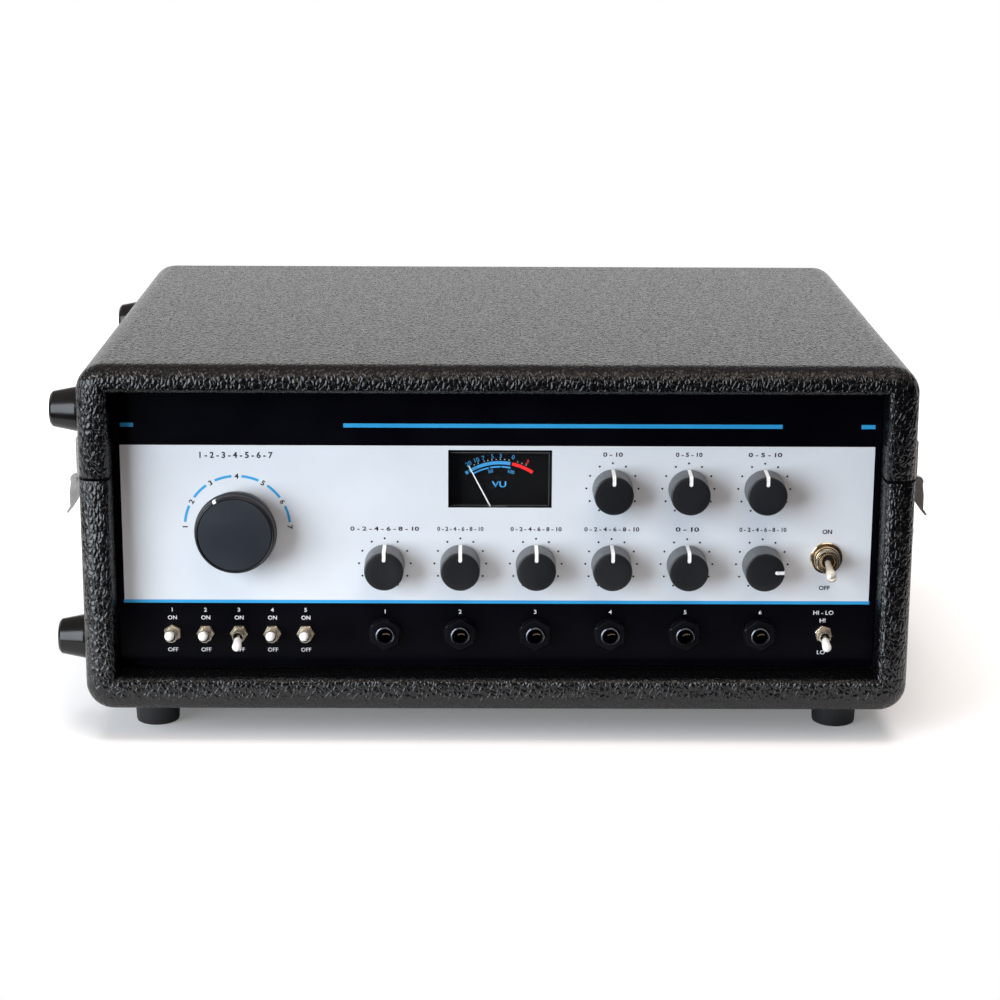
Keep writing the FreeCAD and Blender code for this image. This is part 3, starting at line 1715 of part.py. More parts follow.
pad(mains_inlet, "XZ", f"{inlet_mouth} - inlet_depth + 1", f"{inlet_mouth} - 4", *inlet_pins)

HINGE_Y = f"({BACK} + hinge_stand)"
HINGE_Z = f"({SEAM} + seam_gap / 2)"
clear = "(knuckle_radius + 0.4)"


def hinge_span(centre, low_share, high_share):
    """The stretch of a hinge between two shares of its width, less the running gap at each end."""
    left = f"({centre} - hinge_width / 2 + hinge_width * {low_share} + hinge_end_gap)"
    right = f"({centre} - hinge_width / 2 + hinge_width * {high_share} - hinge_end_gap)"
    return left, right


def hinge_leaves(label, way, spans, pin):
    """The leaves of both hinges that go one way from the seam (-1 down, 1 up), with their knuckles."""
    body = new_body(label)
    levels = [f"({HINGE_Z} + {way} * {clear})", f"({HINGE_Z} + {way} * hinge_leaf_height)"]
    low, high = levels if way > 0 else levels[::-1]
    for side in (-1, 1):
        centre = f"({side} * hinge_x)"
        left, right = hinge_span(centre, 0, 1)
        pad(body, "XZ", BACK, f"{BACK} + hinge_leaf_thick", rectangle(left, low, right, high))
        for share in spans:
            left, right = hinge_span(centre, *share)
            near, far = (levels[0], HINGE_Z) if way < 0 else (HINGE_Z, levels[0])
            pad(
                body,
                "XZ",
                f"{BACK} + hinge_back_gap",
                f"{BACK} + hinge_leaf_thick",
                rectangle(left, near, right, far),
            )
            pad(body, "YZ", left, right, disc(HINGE_Y, HINGE_Z, "knuckle_radius"))
            if not pin:
                bore = disc(HINGE_Y, HINGE_Z, "hinge_pin_radius + shaft_fit")
                pocket(body, "YZ", f"{left} - 0.1", f"{right} + 0.1", bore)
        if pin:
            left, right = hinge_span(centre, 0, 1)
            pad(body, "YZ", left, right, disc(HINGE_Y, HINGE_Z, "hinge_pin_radius"))
    return body


hinge_leaves("hinge_leaves_lower", -1, [(0.333, 0.667)], True)
hinge_leaves("hinge_leaves_upper", 1, [(0, 0.333), (0.667, 1)], False)

# ---- strap handle on the right wall ---------------------------------------------------------

handle_z = "(foot_height + handle_rise)"


def strap_side(lift, end_lift):
    """Points of one face of the strap from its front end to its back end, as (outward, along)."""
    half_points = [
        (end_lift, "strap_half_length"),
        (end_lift, "(strap_half_length - strap_foot_length)"),
        (lift, "(strap_half_length - strap_foot_length - strap_rise_length)"),
    ]
    front = [(f"{CASE_SIDE} + {out}", f"-{along}") for out, along in half_points]
    back = [(f"{CASE_SIDE} + {out}", along) for out, along in reversed(half_points)]
    return front + back


handle_strap = new_body("handle_strap")
under = strap_side("strap_lift", "strap_end_lift")
over = strap_side("strap_lift + strap_thick", "strap_end_lift + strap_end_thick")
pad(
    handle_strap,
    "XY",
    f"{handle_z} - strap_width / 2",
    f"{handle_z} + strap_width / 2",
    outline(*(under + over[::-1])),
)
soften(
    handle_strap,
    "Fillet",
    "strap_thick * 3",
    lambda e: runs_along(e, "Z") and abs(e.BoundBox.YMin) < value("strap_half_length") - 1,
)
soften(
    handle_strap,
    "Fillet",
    "strap_end_thick * 0.4",
    lambda e: e.BoundBox.ZLength < 0.01 and e.BoundBox.YLength > value("strap_end_thick") * 2,
)

handle_caps = new_body("handle_caps")
cavity = "(strap_width / 2 + strap_side_gap)"
shell = f"({cavity} + cap_wall)"
for side in (-1, 1):
    end = f"{side} * (strap_half_length + strap_end_gap + cap_wall)"
    mouth = f"{side} * (strap_half_length + strap_end_gap + cap_wall - cap_length)"
    pad(
        handle_caps,
        "XY",
        f"{handle_z} - {shell}",
        f"{handle_z} + {shell}",
        outline(
            (CASE_SIDE, mouth),
            (f"{CASE_SIDE} + cap_reach", mouth),
            (f"{CASE_SIDE} + cap_reach - cap_taper", end),
            (CASE_SIDE, end),
        ),
    )
    pocket(
        handle_caps,
        "XY",
        f"{handle_z} - {cavity}",
        f"{handle_z} + {cavity}",
        outline(
            (f"{CASE_SIDE} - 1", f"{mouth} - {side} * 1"),
            (f"{CASE_SIDE} + cap_reach - cap_wall", f"{mouth} - {side} * 1"),
            (f"{CASE_SIDE} + cap_reach - cap_wall - cap_taper", f"{end} - {side} * cap_wall"),
            (f"{CASE_SIDE} - 1", f"{end} - {side} * cap_wall"),
        ),
    )

# ---- draw latches ---------------------------------------------------------------------------

latch_y = f"({FRONT} + latch_setback)"
PIVOT_Z = f"({SEAM} - latch_pivot_drop)"
LATCH_OUT = "latch_pivot_reach"
CLAW_OUT = "(latch_pivot_reach + latch_throw * cos(latch_rest_angle))"
CLAW_Z = f"({PIVOT_Z} - latch_throw * sin(latch_rest_angle))"
ear_outer = "latch_half_width"
ear_inner = "(latch_half_width - latch_sheet)"
flange_outer = "(latch_half_width - latch_sheet - latch_side_gap)"
flange_inner = "(latch_half_width - latch_sheet * 2 - latch_side_gap)"
claw_half = "(latch_half_width - latch_sheet * 2 - latch_side_gap * 2)"


def out(side, reach):
    """x of a point that stands a given reach off the left (-1) or right (1) wall."""
    return f"({side} * ({CASE_SIDE} + {reach}))"


def mirrored(low, high):
    """The two stretches along Y that mirror each other about the latch's middle."""
    yield f"{latch_y} + {low}", f"{latch_y} + {high}"
    yield f"{latch_y} - {high}", f"{latch_y} - {low}"


def block(side, near, low, far, high):
    """A rectangle between two reaches off the wall and two heights."""
    inner, outer = out(side, near), out(side, far)
    return outline((inner, low), (outer, low), (outer, high), (inner, high))


latch_bases = new_body("latch_bases")
latch_strikes = new_body("latch_strikes")
for side in (-1, 1):
    middle = (f"{latch_y} - {ear_outer}", f"{latch_y} + {ear_outer}")
    plate = block(side, "0", f"{CLAW_Z} - latch_base_drop", "latch_sheet", f"{SEAM} - latch_base_gap")
    pad(latch_bases, "XZ", *middle, plate)
    ear_low, ear_high = f"{PIVOT_Z} - latch_ear_drop", f"{PIVOT_Z} + latch_eye_radius"
    for ear in mirrored(ear_inner, ear_outer):
        pad(latch_bases, "XZ", *ear, block(side, "0", ear_low, "latch_pivot_reach", ear_high))
        pad(latch_bases, "XZ", *ear, disc(out(side, LATCH_OUT), PIVOT_Z, "latch_eye_radius"))
        pocket(
            latch_bases, "XZ", *ear, disc(out(side, LATCH_OUT), PIVOT_Z, "latch_pin_radius + shaft_fit")
        )
    # the strike on the lid: a plate with a ledge that the claw draws down
    pad(
        latch_strikes,
        "XZ",
        *middle,
        block(side, "0", f"{SEAM} + strike_gap", "strike_thick", f"{SEAM} + strike_top + strike_border"),
    )
    pad(
        latch_strikes,
        "XZ",
        f"{latch_y} - {claw_half}",
        f"{latch_y} + {claw_half}",
        block(side, "1", f"{SEAM} + strike_top - ledge_height", "ledge_reach", f"{SEAM} + strike_top"),
    )

for side, word in ((-1, "left"), (1, "right")):
    arm = new_body(f"latch_lever_{word}")
    web_top = f"({CLAW_Z} - latch_web_drop)"
    tip = f"({CLAW_Z} - latch_tail)"
    web_inner = out(side, "latch_pivot_reach + latch_web_reach")
    web_outer = out(side, "latch_pivot_reach + latch_web_reach + latch_sheet")
    # the web ends in a lip for the finger
    pad(
        arm,
        "XZ",
        f"{latch_y} - {flange_outer}",
        f"{latch_y} + {flange_outer}",
        outline(
            (web_inner, web_top),
            (web_outer, web_top),
            (web_outer, f"{tip} + latch_lip_rise"),
            (out(side, "latch_pivot_reach + latch_lip_reach"), f"{tip} + 0.6"),
            (out(side, "latch_pivot_reach + latch_lip_reach - 0.8"), tip),
            (web_inner, f"{tip} + latch_lip_rise - 0.5"),
        ),
    )
    for flange in mirrored(flange_inner, flange_outer):
        pad(
            arm,
            "XZ",
            *flange,
            outline(
                (out(side, "latch_pivot_reach - latch_eye_radius + 0.2"), PIVOT_Z),
                (out(side, "latch_pivot_reach + latch_eye_radius - 0.2"), PIVOT_Z),
                (web_outer, web_top),
                (web_outer, f"{tip} + latch_lip_rise"),
                (web_inner, f"{tip} + latch_lip_rise"),
                (out(side, "latch_pivot_reach - latch_heel"), f"{CLAW_Z} - 2"),
            ),
        )
        pad(arm, "XZ", *flange, disc(out(side, LATCH_OUT), PIVOT_Z, "latch_eye_radius"))
        pocket(arm, "XZ", *flange, disc(out(side, CLAW_OUT), CLAW_Z, "claw_pin_radius + shaft_fit"))
    for stub in mirrored(flange_inner, "(latch_half_width + 0.5)"):
        pad(arm, "XZ", *stub, disc(out(side, LATCH_OUT), PIVOT_Z, "latch_pin_radius"))

    claw = new_body(f"latch_claw_{word}")
    near, far = f"{CLAW_OUT} - latch_sheet / 2", f"{CLAW_OUT} + latch_sheet / 2"
    hook_low = f"({SEAM} + strike_top + hook_gap)"
    pad(
        claw,
        "XZ",
        f"{latch_y} - {claw_half}",
        f"{latch_y} + {claw_half}",
        outline(
            (out(side, near), CLAW_Z),
            (out(side, far), CLAW_Z),
            (out(side, far), f"{hook_low} + latch_sheet"),
            (out(side, "hook_reach"), f"{hook_low} + latch_sheet"),
            (out(side, "hook_reach"), hook_low),
            (out(side, near), hook_low),
        ),
    )
    pad(
        claw,
        "XZ",
        f"{latch_y} - {claw_half}",
        f"{latch_y} + {claw_half}",
        disc(out(side, CLAW_OUT), CLAW_Z, "claw_barrel_radius"),
    )
    pad(
        claw,
        "XZ",
        f"{latch_y} - {flange_outer}",
        f"{latch_y} + {flange_outer}",
        disc(out(side, CLAW_OUT), CLAW_Z, "claw_pin_radius"),
    )

# ---- check every object, then write one file for each piece ---------------------------------

doc.recompute()
problems = []
for item in doc.Objects:
    owner = item.getParentGeoFeatureGroup()
    name = f"{owner.Label if owner else ''} {item.Label}"
    if "Invalid" in item.State or "Error" in item.State:
        problems.append(f"{name} failed")
    elif item.TypeId in ("PartDesign::Pocket", "PartDesign::Groove"):
        if item.Shape.Volume > item.BaseFeature.Shape.Volume - 1e-6:
            problems.append(f"{name} cuts nothing")
for piece in PIECES:
    if piece.Shape.isNull() or not piece.Shape.isValid():
        problems.append(f"{piece.Label} has no valid shape")
if problems:
    raise RuntimeError("; ".join(problems))

os.makedirs("parts", exist_ok=True)
for piece in PIECES:
    piece.Shape.exportStep(f"parts/{piece.Label}.step")
print(len(PIECES), "pieces")
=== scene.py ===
import math

import bmesh
import bpy
from mathutils import Matrix, Vector


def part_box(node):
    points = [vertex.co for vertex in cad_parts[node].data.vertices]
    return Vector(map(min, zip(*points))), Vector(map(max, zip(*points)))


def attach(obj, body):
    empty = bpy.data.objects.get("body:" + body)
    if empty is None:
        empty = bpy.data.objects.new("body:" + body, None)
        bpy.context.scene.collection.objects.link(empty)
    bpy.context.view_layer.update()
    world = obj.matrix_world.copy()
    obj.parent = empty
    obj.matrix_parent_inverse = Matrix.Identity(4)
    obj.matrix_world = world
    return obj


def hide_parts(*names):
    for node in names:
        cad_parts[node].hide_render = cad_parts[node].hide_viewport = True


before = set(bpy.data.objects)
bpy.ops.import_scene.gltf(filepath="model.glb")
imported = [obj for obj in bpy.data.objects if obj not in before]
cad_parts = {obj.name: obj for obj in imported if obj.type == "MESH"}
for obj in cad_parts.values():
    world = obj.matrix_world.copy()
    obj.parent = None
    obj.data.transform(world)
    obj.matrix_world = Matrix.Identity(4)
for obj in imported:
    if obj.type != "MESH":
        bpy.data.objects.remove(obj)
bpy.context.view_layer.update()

# ---- the studio ----
# The unit stands on a pale floor in a white room that is darker in front of it, lit by one
# large soft lamp at the front left and a weak warm one at the right.

scene = bpy.context.scene
scene.view_settings.view_transform = "Standard"


def metres(x, y, z):
    """A place given in millimetres, as Blender's vector in metres."""
    return Vector((x, y, z)) / 1000


def fill(tree, sockets, values):
    """Links or sets input sockets, each found by its name or number."""
    for key, value in values.items():
        if isinstance(value, bpy.types.NodeSocket):
            tree.links.new(value, sockets[key])
        else:
            sockets[key].default_value = value


def node(tree, kind, inputs=None, **settings):
    """Adds a shader node; inputs are sockets or plain values, and its outputs come back."""
    made = tree.nodes.new("ShaderNode" + kind)
    for key, value in settings.items():
        setattr(made, key, value)
    fill(tree, made.inputs, inputs or {})
    return made.outputs


def reckoned(tree, operation, *values, **settings):
    """The result of a sum on sockets or plain values."""
    return node(tree, "Math", dict(enumerate(values)), operation=operation, **settings)[0]


def ranged(tree, value, start, end, low=0.0, high=1.0, **settings):
    """Turns a value's stretch from start to end into low to high, and holds it outside."""
    inputs = {"Value": value, "From Min": start, "From Max": end, "To Min": low, "To Max": high}
    return node(tree, "MapRange", inputs, **settings)[0]


def blend_colours(tree, factor, first, second):
    """A mix of two colours; each may be a socket or a plain colour."""
    return node(tree, "Mix", {0: factor, 6: first, 7: second}, data_type="RGBA")[2]


def new_finish(name, values):
    """A material with these shader values: it, its tree, its shader's inputs and its place."""
    finish = bpy.data.materials.new(name)
    finish.use_nodes = True
    tree = finish.node_tree
    shader = tree.nodes["Principled BSDF"].inputs
    fill(tree, shader, values)
    return finish, tree, shader, node(tree, "TexCoord")["Object"]


def new_object(name, data):
    """Puts a mesh, curve, lamp or camera into the scene as an object."""
    made = bpy.data.objects.new(name, data)
    scene.collection.objects.link(made)
    return made


camera = new_object("camera", bpy.data.cameras.new("camera"))
pitch, yaw, roll = 0.2495, 0.0079, 0.005
camera.matrix_world = (
    Matrix.Translation(metres(-11.4, -1343.5, 438))
    @ Matrix.Rotation(-yaw, 4, "Z")
    @ Matrix.Rotation(math.pi / 2 - pitch, 4, "X")
    @ Matrix.Rotation(roll, 4, "Z")
)
camera.data.lens, camera.data.sensor_width = 88.14, 36
camera.data.shift_x, camera.data.shift_y = 0.0062, -0.01315
scene.camera = camera

world = bpy.data.worlds.new("white_room")
scene.world = world
world.use_nodes = True
room = world.node_tree
front_wall, ceiling, white_wall = (0.013, 0.015, 0.022, 1), (0.3, 0.27, 0.25, 1), (1, 1, 1, 1)
direction = node(room, "SeparateXYZ", {0: node(room, "TexCoord")["Generated"]})
rising = ranged(room, direction["Z"], 0.3, 0.6)
going_back = ranged(room, direction["Y"], 0.35, 0.8)
below_top = ranged(room, direction["Z"], 0.33, 0.44, 1.0, 0.0)
backdrop = reckoned(room, "MULTIPLY", going_back, below_top)
walls = blend_colours(room, backdrop, blend_colours(room, rising, front_wall, ceiling), white_wall)
seen = node(room, "LightPath")
mirrored = reckoned(room, "ADD", seen["Is Glossy Ray"], seen["Is Transmission Ray"])
behind = reckoned(room, "MULTIPLY", mirrored, backdrop, use_clamp=True)
white = reckoned(room, "MAXIMUM", seen["Is Camera Ray"], behind)
fill(room, room.nodes["Background"].inputs, {"Color": blend_colours(room, white, walls, white_wall)})

floor_shape = bmesh.new()
floor_place = Matrix.Translation(metres(0, 400, 0)) @ Matrix.Diagonal((0.58, 0.66, 1, 1))
bmesh.ops.create_grid(floor_shape, x_segments=8, y_segments=8, size=1, matrix=floor_place)
floor_mesh = bpy.data.meshes.new("floor")
floor_shape.to_mesh(floor_mesh)
floor_shape.free()
new_object("floor", floor_mesh)
matt = {"Base Color": (0.86, 0.86, 0.87, 1), "Roughness": 0.9, "Specular IOR Level": 0}
floor_paint, paint, shader, place = new_finish("floor_paint", {**matt, "Emission Color": (1, 1, 1, 1)})
# The glow that only the camera sees is weakest near the unit and grows further out: painted shade round the
# unit, deepening its real shadow.
away = node(paint, "VectorMath", {0: place}, operation="LENGTH")["Value"]
seen = node(paint, "LightPath")["Is Camera Ray"]
glow_with_painted_shade = reckoned(paint, "MULTIPLY", seen, ranged(paint, away, 0.28, 0.6, 0.17, 0.5))
fill(paint, shader, {"Emission Strength": glow_with_painted_shade})
floor_mesh.materials.append(floor_paint)

for name, place, aim, power, size, colour in (
    ("key_lamp", (-1500, -1250, 480), (0, -100, 100), 57, 1.5, (0.86, 0.93, 1.0)),
    ("fill_lamp", (300, -900, 1500), (0, -100, 100), 7, 1.0, (1.0, 0.8, 0.66)),
    ("top_lamp", (0, -60, 1700), (0, -40, 100), 28, 1.4, (1.0, 0.99, 0.98)),
):
    lamp = bpy.data.lights.new(name, "AREA")
    lamp.energy, lamp.size, lamp.color = power, size, colour
    holder = new_object(name, lamp)
    holder.location = metres(*place)
    holder.rotation_euler = (metres(*aim) - metres(*place)).to_track_quat("-Z", "Y").to_euler()
    holder.visible_glossy = name != "top_lamp"

# ---- covered case ----
# Two boxes of plywood, the lower case and its lid, wrapped in black leather-grained vinyl. The
# vinyl is glued down and turned in at the mouth; the wood inside is stained black.


def new_grain(name, own, kind):
    """A grain's node group, with an input of its own beside those that every grain has."""
    grain = bpy.data.node_groups.new(name, "ShaderNodeTree")
    inputs = {"Place": "Vector", own: kind, "Light": "Color", "Dark": "Color", "Smooth": "Float"}
    for label, sort in {**inputs, "Rough": "Float", "Relief": "Float"}.items():
        grain.interface.new_socket(label, in_out="INPUT", socket_type="NodeSocket" + sort)
    for label, sort in {"Colour": "Color", "Roughness": "Float", "Normal": "Vector"}.items():
        grain.interface.new_socket(label, in_out="OUTPUT", socket_type="NodeSocket" + sort)
    return grain, grain.nodes.new("NodeGroupInput").outputs, grain.nodes.new("NodeGroupOutput").inputs


def noise(tree, place, scale, detail, roughness=0.5):
    """The outputs of a noise texture."""
    inputs = {"Vector": place, "Scale": scale, "Detail": detail, "Roughness": roughness}
    return node(tree, "TexNoise", inputs)


def end_grain(grain, given, out, shade, sheen, height):
    """Puts out a grain's colour by its shade, its roughness by its sheen, and its relief."""
    bump = {"Height": height, "Distance": given["Relief"], "Strength": 1.0}
    looks = {
        "Colour": blend_colours(grain, shade, given["Dark"], given["Light"]),
        "Roughness": ranged(grain, *sheen, given["Smooth"], given["Rough"]),
        "Normal": node(grain, "Bump", bump)[0],
    }
    fill(grain, out, looks)


def finished(name, grain, light, dark, smooth, rough, metallic=0.0, specular=0.5, **own):
    """A material that a grain gives its colour, sheen and surface."""
    plain = {"Metallic": metallic, "Specular IOR Level": specular}
    finish, tree, shader, place = new_finish(name, plain)
    own.update(Place=place, Light=(*light, 1), Dark=(*dark, 1), Smooth=smooth, Rough=rough)
    seen = node(tree, "Group", own, node_tree=grain)
    fill(tree, shader, {"Base Color": seen["Colour"], "Roughness": seen["Roughness"], "Normal": seen["Normal"]})
    return finish


# leather grain: slanting cells with narrow creases between them, and a fine tooth on top; the creases take the
# darker colour, as painted shade in them
leather, given, out = new_grain("leather_grain", "Scale", "Float")
drift = {0: noise(leather, given["Place"], 210, 2)["Color"], 1: (0.5, 0.5, 0.5)}
stray = {0: node(leather, "VectorMath", drift, operation="SUBTRACT")[0], 1: (0.003, 0.003, 0.003)}
strayed = node(leather, "VectorMath", {**stray, 2: given["Place"]}, operation="MULTIPLY_ADD")[0]
slant = {"Vector": strayed, "Rotation": (0.15, 0.45, 0.35), "Scale": (1.0, 0.6, 0.55)}
cell = {"Vector": node(leather, "Mapping", slant)[0], "Scale": given["Scale"]}
to_edge = node(leather, "TexVoronoi", cell, feature="DISTANCE_TO_EDGE")["Distance"]
ridge = ranged(leather, to_edge, 0.0, 0.16, interpolation_type="SMOOTHSTEP")
dome = ranged(leather, to_edge, 0.0, 0.5, interpolation_type="SMOOTHSTEP")
wrinkle = noise(leather, strayed, 900, 3, 0.6)[0]
tooth = reckoned(leather, "MULTIPLY_ADD", wrinkle, 0.1, dome)
height = reckoned(leather, "MULTIPLY_ADD", ridge, 0.5, tooth)
end_grain(leather, given, out, ridge, (wrinkle, 0.3, 0.7), height)


def leathered(name, ridge, crease_shade, smooth, rough, cells, relief):
    """Leather-grained vinyl; cells is their number in a metre, relief its depth in mm."""
    return finished(name, leather, ridge, crease_shade, smooth, rough, Scale=cells, Relief=relief / 1000)


# fine grain: the faint mottling, tooth and uneven sheen of moulded, painted and cast surfaces
fine, given, out = new_grain("fine_grain", "Scale", "Float")
speck = noise(fine, given["Place"], given["Scale"], 4)[0]
cloud = noise(fine, given["Place"], 35, 2)[0]
mottle = ranged(fine, reckoned(fine, "MULTIPLY", speck, cloud), 0.15, 0.37)
end_grain(fine, given, out, mottle, (cloud, 0.3, 0.7), speck)


def grained(name, light, dark, smooth, rough, scale=900, relief=0.02, metallic=0.0, specular=0.5):
    """A moulded, painted or cast finish."""
    own = {"Scale": scale, "Relief": relief / 1000}
    return finished(name, fine, light, dark, smooth, rough, metallic, specular, **own)


def sharpen(shape, degrees):
    """Shades every face smooth and marks the edges that turn by more than this as sharp."""
    for face in shape.faces:
        face.smooth = True
    for edge in shape.edges:
        edge.smooth = edge.calc_face_angle(0) < math.radians(degrees)


def merged(name):
    """A CAD node's shape as a bmesh, its loose triangles joined, with its corners sharp."""
    shape = bmesh.new()
    shape.from_mesh(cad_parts[name].data)
    shape.normal_update()
    bmesh.ops.remove_doubles(shape, verts=shape.verts, dist=1e-6)
    sharpen(shape, 35)
    return shape


def scored(shape, place, normal, **more):
    """Cuts the faces that cross a plane, so that its two sides can differ."""
    whole = shape.verts[:] + shape.edges[:] + shape.faces[:]
    bmesh.ops.bisect_plane(shape, geom=whole, plane_co=place, plane_no=normal, **more)


def rounded(shape, edges, radius, segments, **more):
    """Rounds edges of a shape."""
    more.update(offset=radius, offset_type="OFFSET", segments=segments, profile=0.5)
    bmesh.ops.bevel(shape, geom=edges, affect="EDGES", material=-1, **more)


def add_piece(name, shape, finishes, body, slot, *nodes):
    """Makes a bmesh into a piece that moves with a body and stands for the named CAD nodes."""
    mesh = bpy.data.meshes.new(name)
    shape.to_mesh(mesh)
    shape.free()
    if "custom_normal" in mesh.attributes:
        mesh.attributes.remove(mesh.attributes["custom_normal"])
    for finish in finishes:
        mesh.materials.append(finish)
    piece = new_object(name, mesh)
    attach(piece, body)
    if nodes:
        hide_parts(*nodes)


case_vinyl = leathered("case_vinyl", (0.0026, 0.0024, 0.003), (0.0012, 0.0012, 0.0014), 0.19, 0.3, 450, 0.26)
stained_wood = grained("stained_wood", (0.02, 0.018, 0.016), (0.011, 0.01, 0.009), 0.6, 0.8, 240, 0.1)
seam_painted_shade = grained("seam_painted_shade", (0.0012, 0.0012, 0.0014), (0.0007, 0.0007, 0.0008), 0.7, 0.9, specular=0.05)
inner_side, inner_low, inner_high, inner_back = 0.1945, 0.0345, 0.1835, 0.1485
turned_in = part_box("front_panel")[0].y + 0.002
seam_round = 0.0006
for box_node, body in (("lower_case", "case"), ("lid_shell", "lid")):
    shape = merged(box_node)
    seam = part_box(box_node)[1 if body == "case" else 0].z
    rim = [edge for edge in shape.edges if all(abs(v.co.z - seam) < 1e-5 for v in edge.verts)]
    rounded(shape, [edge for edge in rim if edge.calc_face_angle(0) > 1], seam_round, 2)
    scored(shape, (0, turned_in, 0), (0, 1, 0))
    for face in shape.faces:
        at = face.calc_center_median()
        inside = abs(at.x) < inner_side and inner_low < at.z < inner_high and turned_in < at.y < inner_back
        # the rounded vinyl edges along the seam take a near-black matt finish: painted shade for the gap
        # between lid and case
        in_seam_shade = abs(at.z - seam) < seam_round + 0.00002 and abs(face.normal.z) < 0.95
        face.material_index = 1 if inside else 2 if in_seam_shade else 0
    sharpen(shape, 35)
    add_piece(f"covered_{body}", shape, [case_vinyl, stained_wood, seam_painted_shade], body, "case_vinyl", box_node)

# ---- rubber feet ----
# Four moulded feet under the case and four tall ones on the left wall, each held by a screw
# that sits deep in the foot.


def dress(finish, *names):
    """Gives CAD nodes their finish; their shapes stay as they are."""
    for name in names:
        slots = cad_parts[name].data.materials
        slots.clear()
        slots.append(finish)


def span(name, margin=0.0):
    """A CAD node's lowest and highest x, y and z in millimetres, with a margin taken off."""
    low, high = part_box(name)
    return [(low[i] * 1000 + margin, high[i] * 1000 - margin) for i in range(3)]


def chain(shape, places):
    """Joins places in millimetres by edges; gives the points and the edges."""
    points = [shape.verts.new(metres(*place)) for place in places]
    return points, [shape.edges.new(pair) for pair in zip(points, points[1:])]


def spun(shape, profile, centre, axis, angle, steps, full):
    """Sweeps a profile's points and edges about an axis; a full turn closes on itself."""
    sweep = {"cent": centre, "axis": axis, "dvec": (0, 0, 0), "angle": angle, "steps": steps}
    bmesh.ops.spin(shape, geom=profile, use_merge=full, use_duplicate=False, **sweep)


def turned(profile, steps):
    """A shape turned about +Z from (radius, height) pairs in millimetres, closed on itself."""
    shape = bmesh.new()
    points, edges = chain(shape, [(radius, 0, height) for radius, height in profile])
    spun(shape, points + edges, (0, 0, 0), (0, 0, 1), 2 * math.pi, steps, True)
    bmesh.ops.remove_doubles(shape, verts=shape.verts, dist=1e-7)
    bmesh.ops.recalc_face_normals(shape, faces=shape.faces)
    sharpen(shape, 32)
    return shape


def facing(x, y, z, outward, turn=0.0):
    """Places a shape made along +Z so that it points outward from a place in millimetres."""
    swing = Vector((0, 0, 1)).rotation_difference(Vector(outward)).to_matrix().to_4x4()
    return Matrix.Translation(metres(x, y, z)) @ swing @ Matrix.Rotation(turn, 4, "Z")


def gathered(pattern, places):
    """Copies of one shape at several places, as one bmesh; the pattern is used up."""
    mesh = bpy.data.meshes.new("pattern")
    pattern.to_mesh(mesh)
    pattern.free()
    whole = bmesh.new()
    for place in places:
        copy = mesh.copy()
        copy.transform(place)
        whole.from_mesh(copy)
        bpy.data.meshes.remove(copy)
    bpy.data.meshes.remove(mesh)
    return whole


def draw_out(shape, grown, x, y, z):
    """Moves the points that an extrusion has made, in millimetres."""
    made = [v for v in grown["geom"] if isinstance(v, bmesh.types.BMVert)]
    bmesh.ops.translate(shape, verts=made, vec=metres(x, y, z))


def screw_head(radius, tall):
    """A domed screw head with a cross recess, standing on z = 0."""
    dome = ((0, 0), (1, 0), (1, 0.25), (0.9, 0.62), (0.66, 0.9), (0.33, 1), (0, 1))
    shape = turned([(radius * across, tall * up) for across, up in dome], 24)
    arm, half = radius * 0.6, radius * 0.11
    for across in (-arm, -half, half, arm):
        for normal in ((1, 0, 0), (0, 1, 0)):
            scored(shape, Vector(normal) * across / 1000, normal)
    recess = []
    for face in shape.faces:
        at = face.calc_center_median() * 1000
        near, far = sorted((abs(at.x), abs(at.y)))
        if face.normal.z > 0.3 and near < half and far < arm and at.z > tall * 0.5:
            recess.append(face)
    sunk = bmesh.ops.extrude_face_region(shape, geom=recess)
    bmesh.ops.delete(shape, geom=recess, context="FACES_ONLY")
    draw_out(shape, sunk, 0, 0, -tall * 0.55)
    sharpen(shape, 32)
    return shape


def fitted(name, shape, places, finish, slot, *nodes, body="case"):
    """Puts copies of a shape at several places, as one piece of one finish."""
    add_piece(name, gathered(shape, places), [finish], body, slot, *nodes)


def add_screws(name, radius, tall, places, body="case", slot="fitting_nickel"):
    """Puts a screw head at each place, as one piece."""
    fitted(name, screw_head(radius, tall), places, screw_steel, slot, body=body)


foot_rubber = grained("foot_rubber", (0.018, 0.018, 0.02), (0.011, 0.011, 0.012), 0.45, 0.62, 1200, 0.06)
side_foot_moulding = grained(
    "side_foot_moulding", (0.007, 0.006, 0.006), (0.0045, 0.004, 0.004), 0.16, 0.28, 900, 0.01, specular=0.35
)
screw_steel = grained("screw_steel", (0.62, 0.61, 0.6), (0.42, 0.41, 0.4), 0.25, 0.42, 1500, 0.01, metallic=1.0)
dress(side_foot_moulding, "side_feet_lower", "side_feet_upper")
foot_radius, foot_height, screw_seat, screw_depth = 12, 17, 8, 8.1
foot_xs, foot_ys, _ = span("base_feet", foot_radius)
foot = [(0, screw_seat), (4.5, screw_seat), (4.5, 0.7), (5.0, 0.1), (5.6, 0), (10.2, 0), (10.85, 0.35)]
foot += [(11.15, 1.2), (foot_radius, foot_height - 1), (foot_radius, foot_height), (0, foot_height)]
foot_places = [Matrix.Translation(metres(x, y, 0)) for x in foot_xs for y in foot_ys]
fitted("rubber_feet", turned(foot, 56), foot_places, foot_rubber, "foot_rubber", "base_feet")
screw_places = [facing(x, y, screw_depth, (0, 0, -1)) for x in foot_xs for y in foot_ys]
for side_feet, body in (("side_feet_lower", "case"), ("side_feet_upper", "lid")):
    (left, _), _, heights = span(side_feet, screw_depth)
    screw_places += [facing(left, y, sum(heights) / 2, (-1, 0, 0)) for y in foot_ys]
    add_screws(f"{body}_foot_screws", 3.6, 2.2, screw_places, body, "foot_rubber")
    screw_places = []

# ---- front panel ----
# A folded aluminium sheet. Its face is printed black, with a silver field between the upper and
# the lower band; the folds and the back are bare metal.

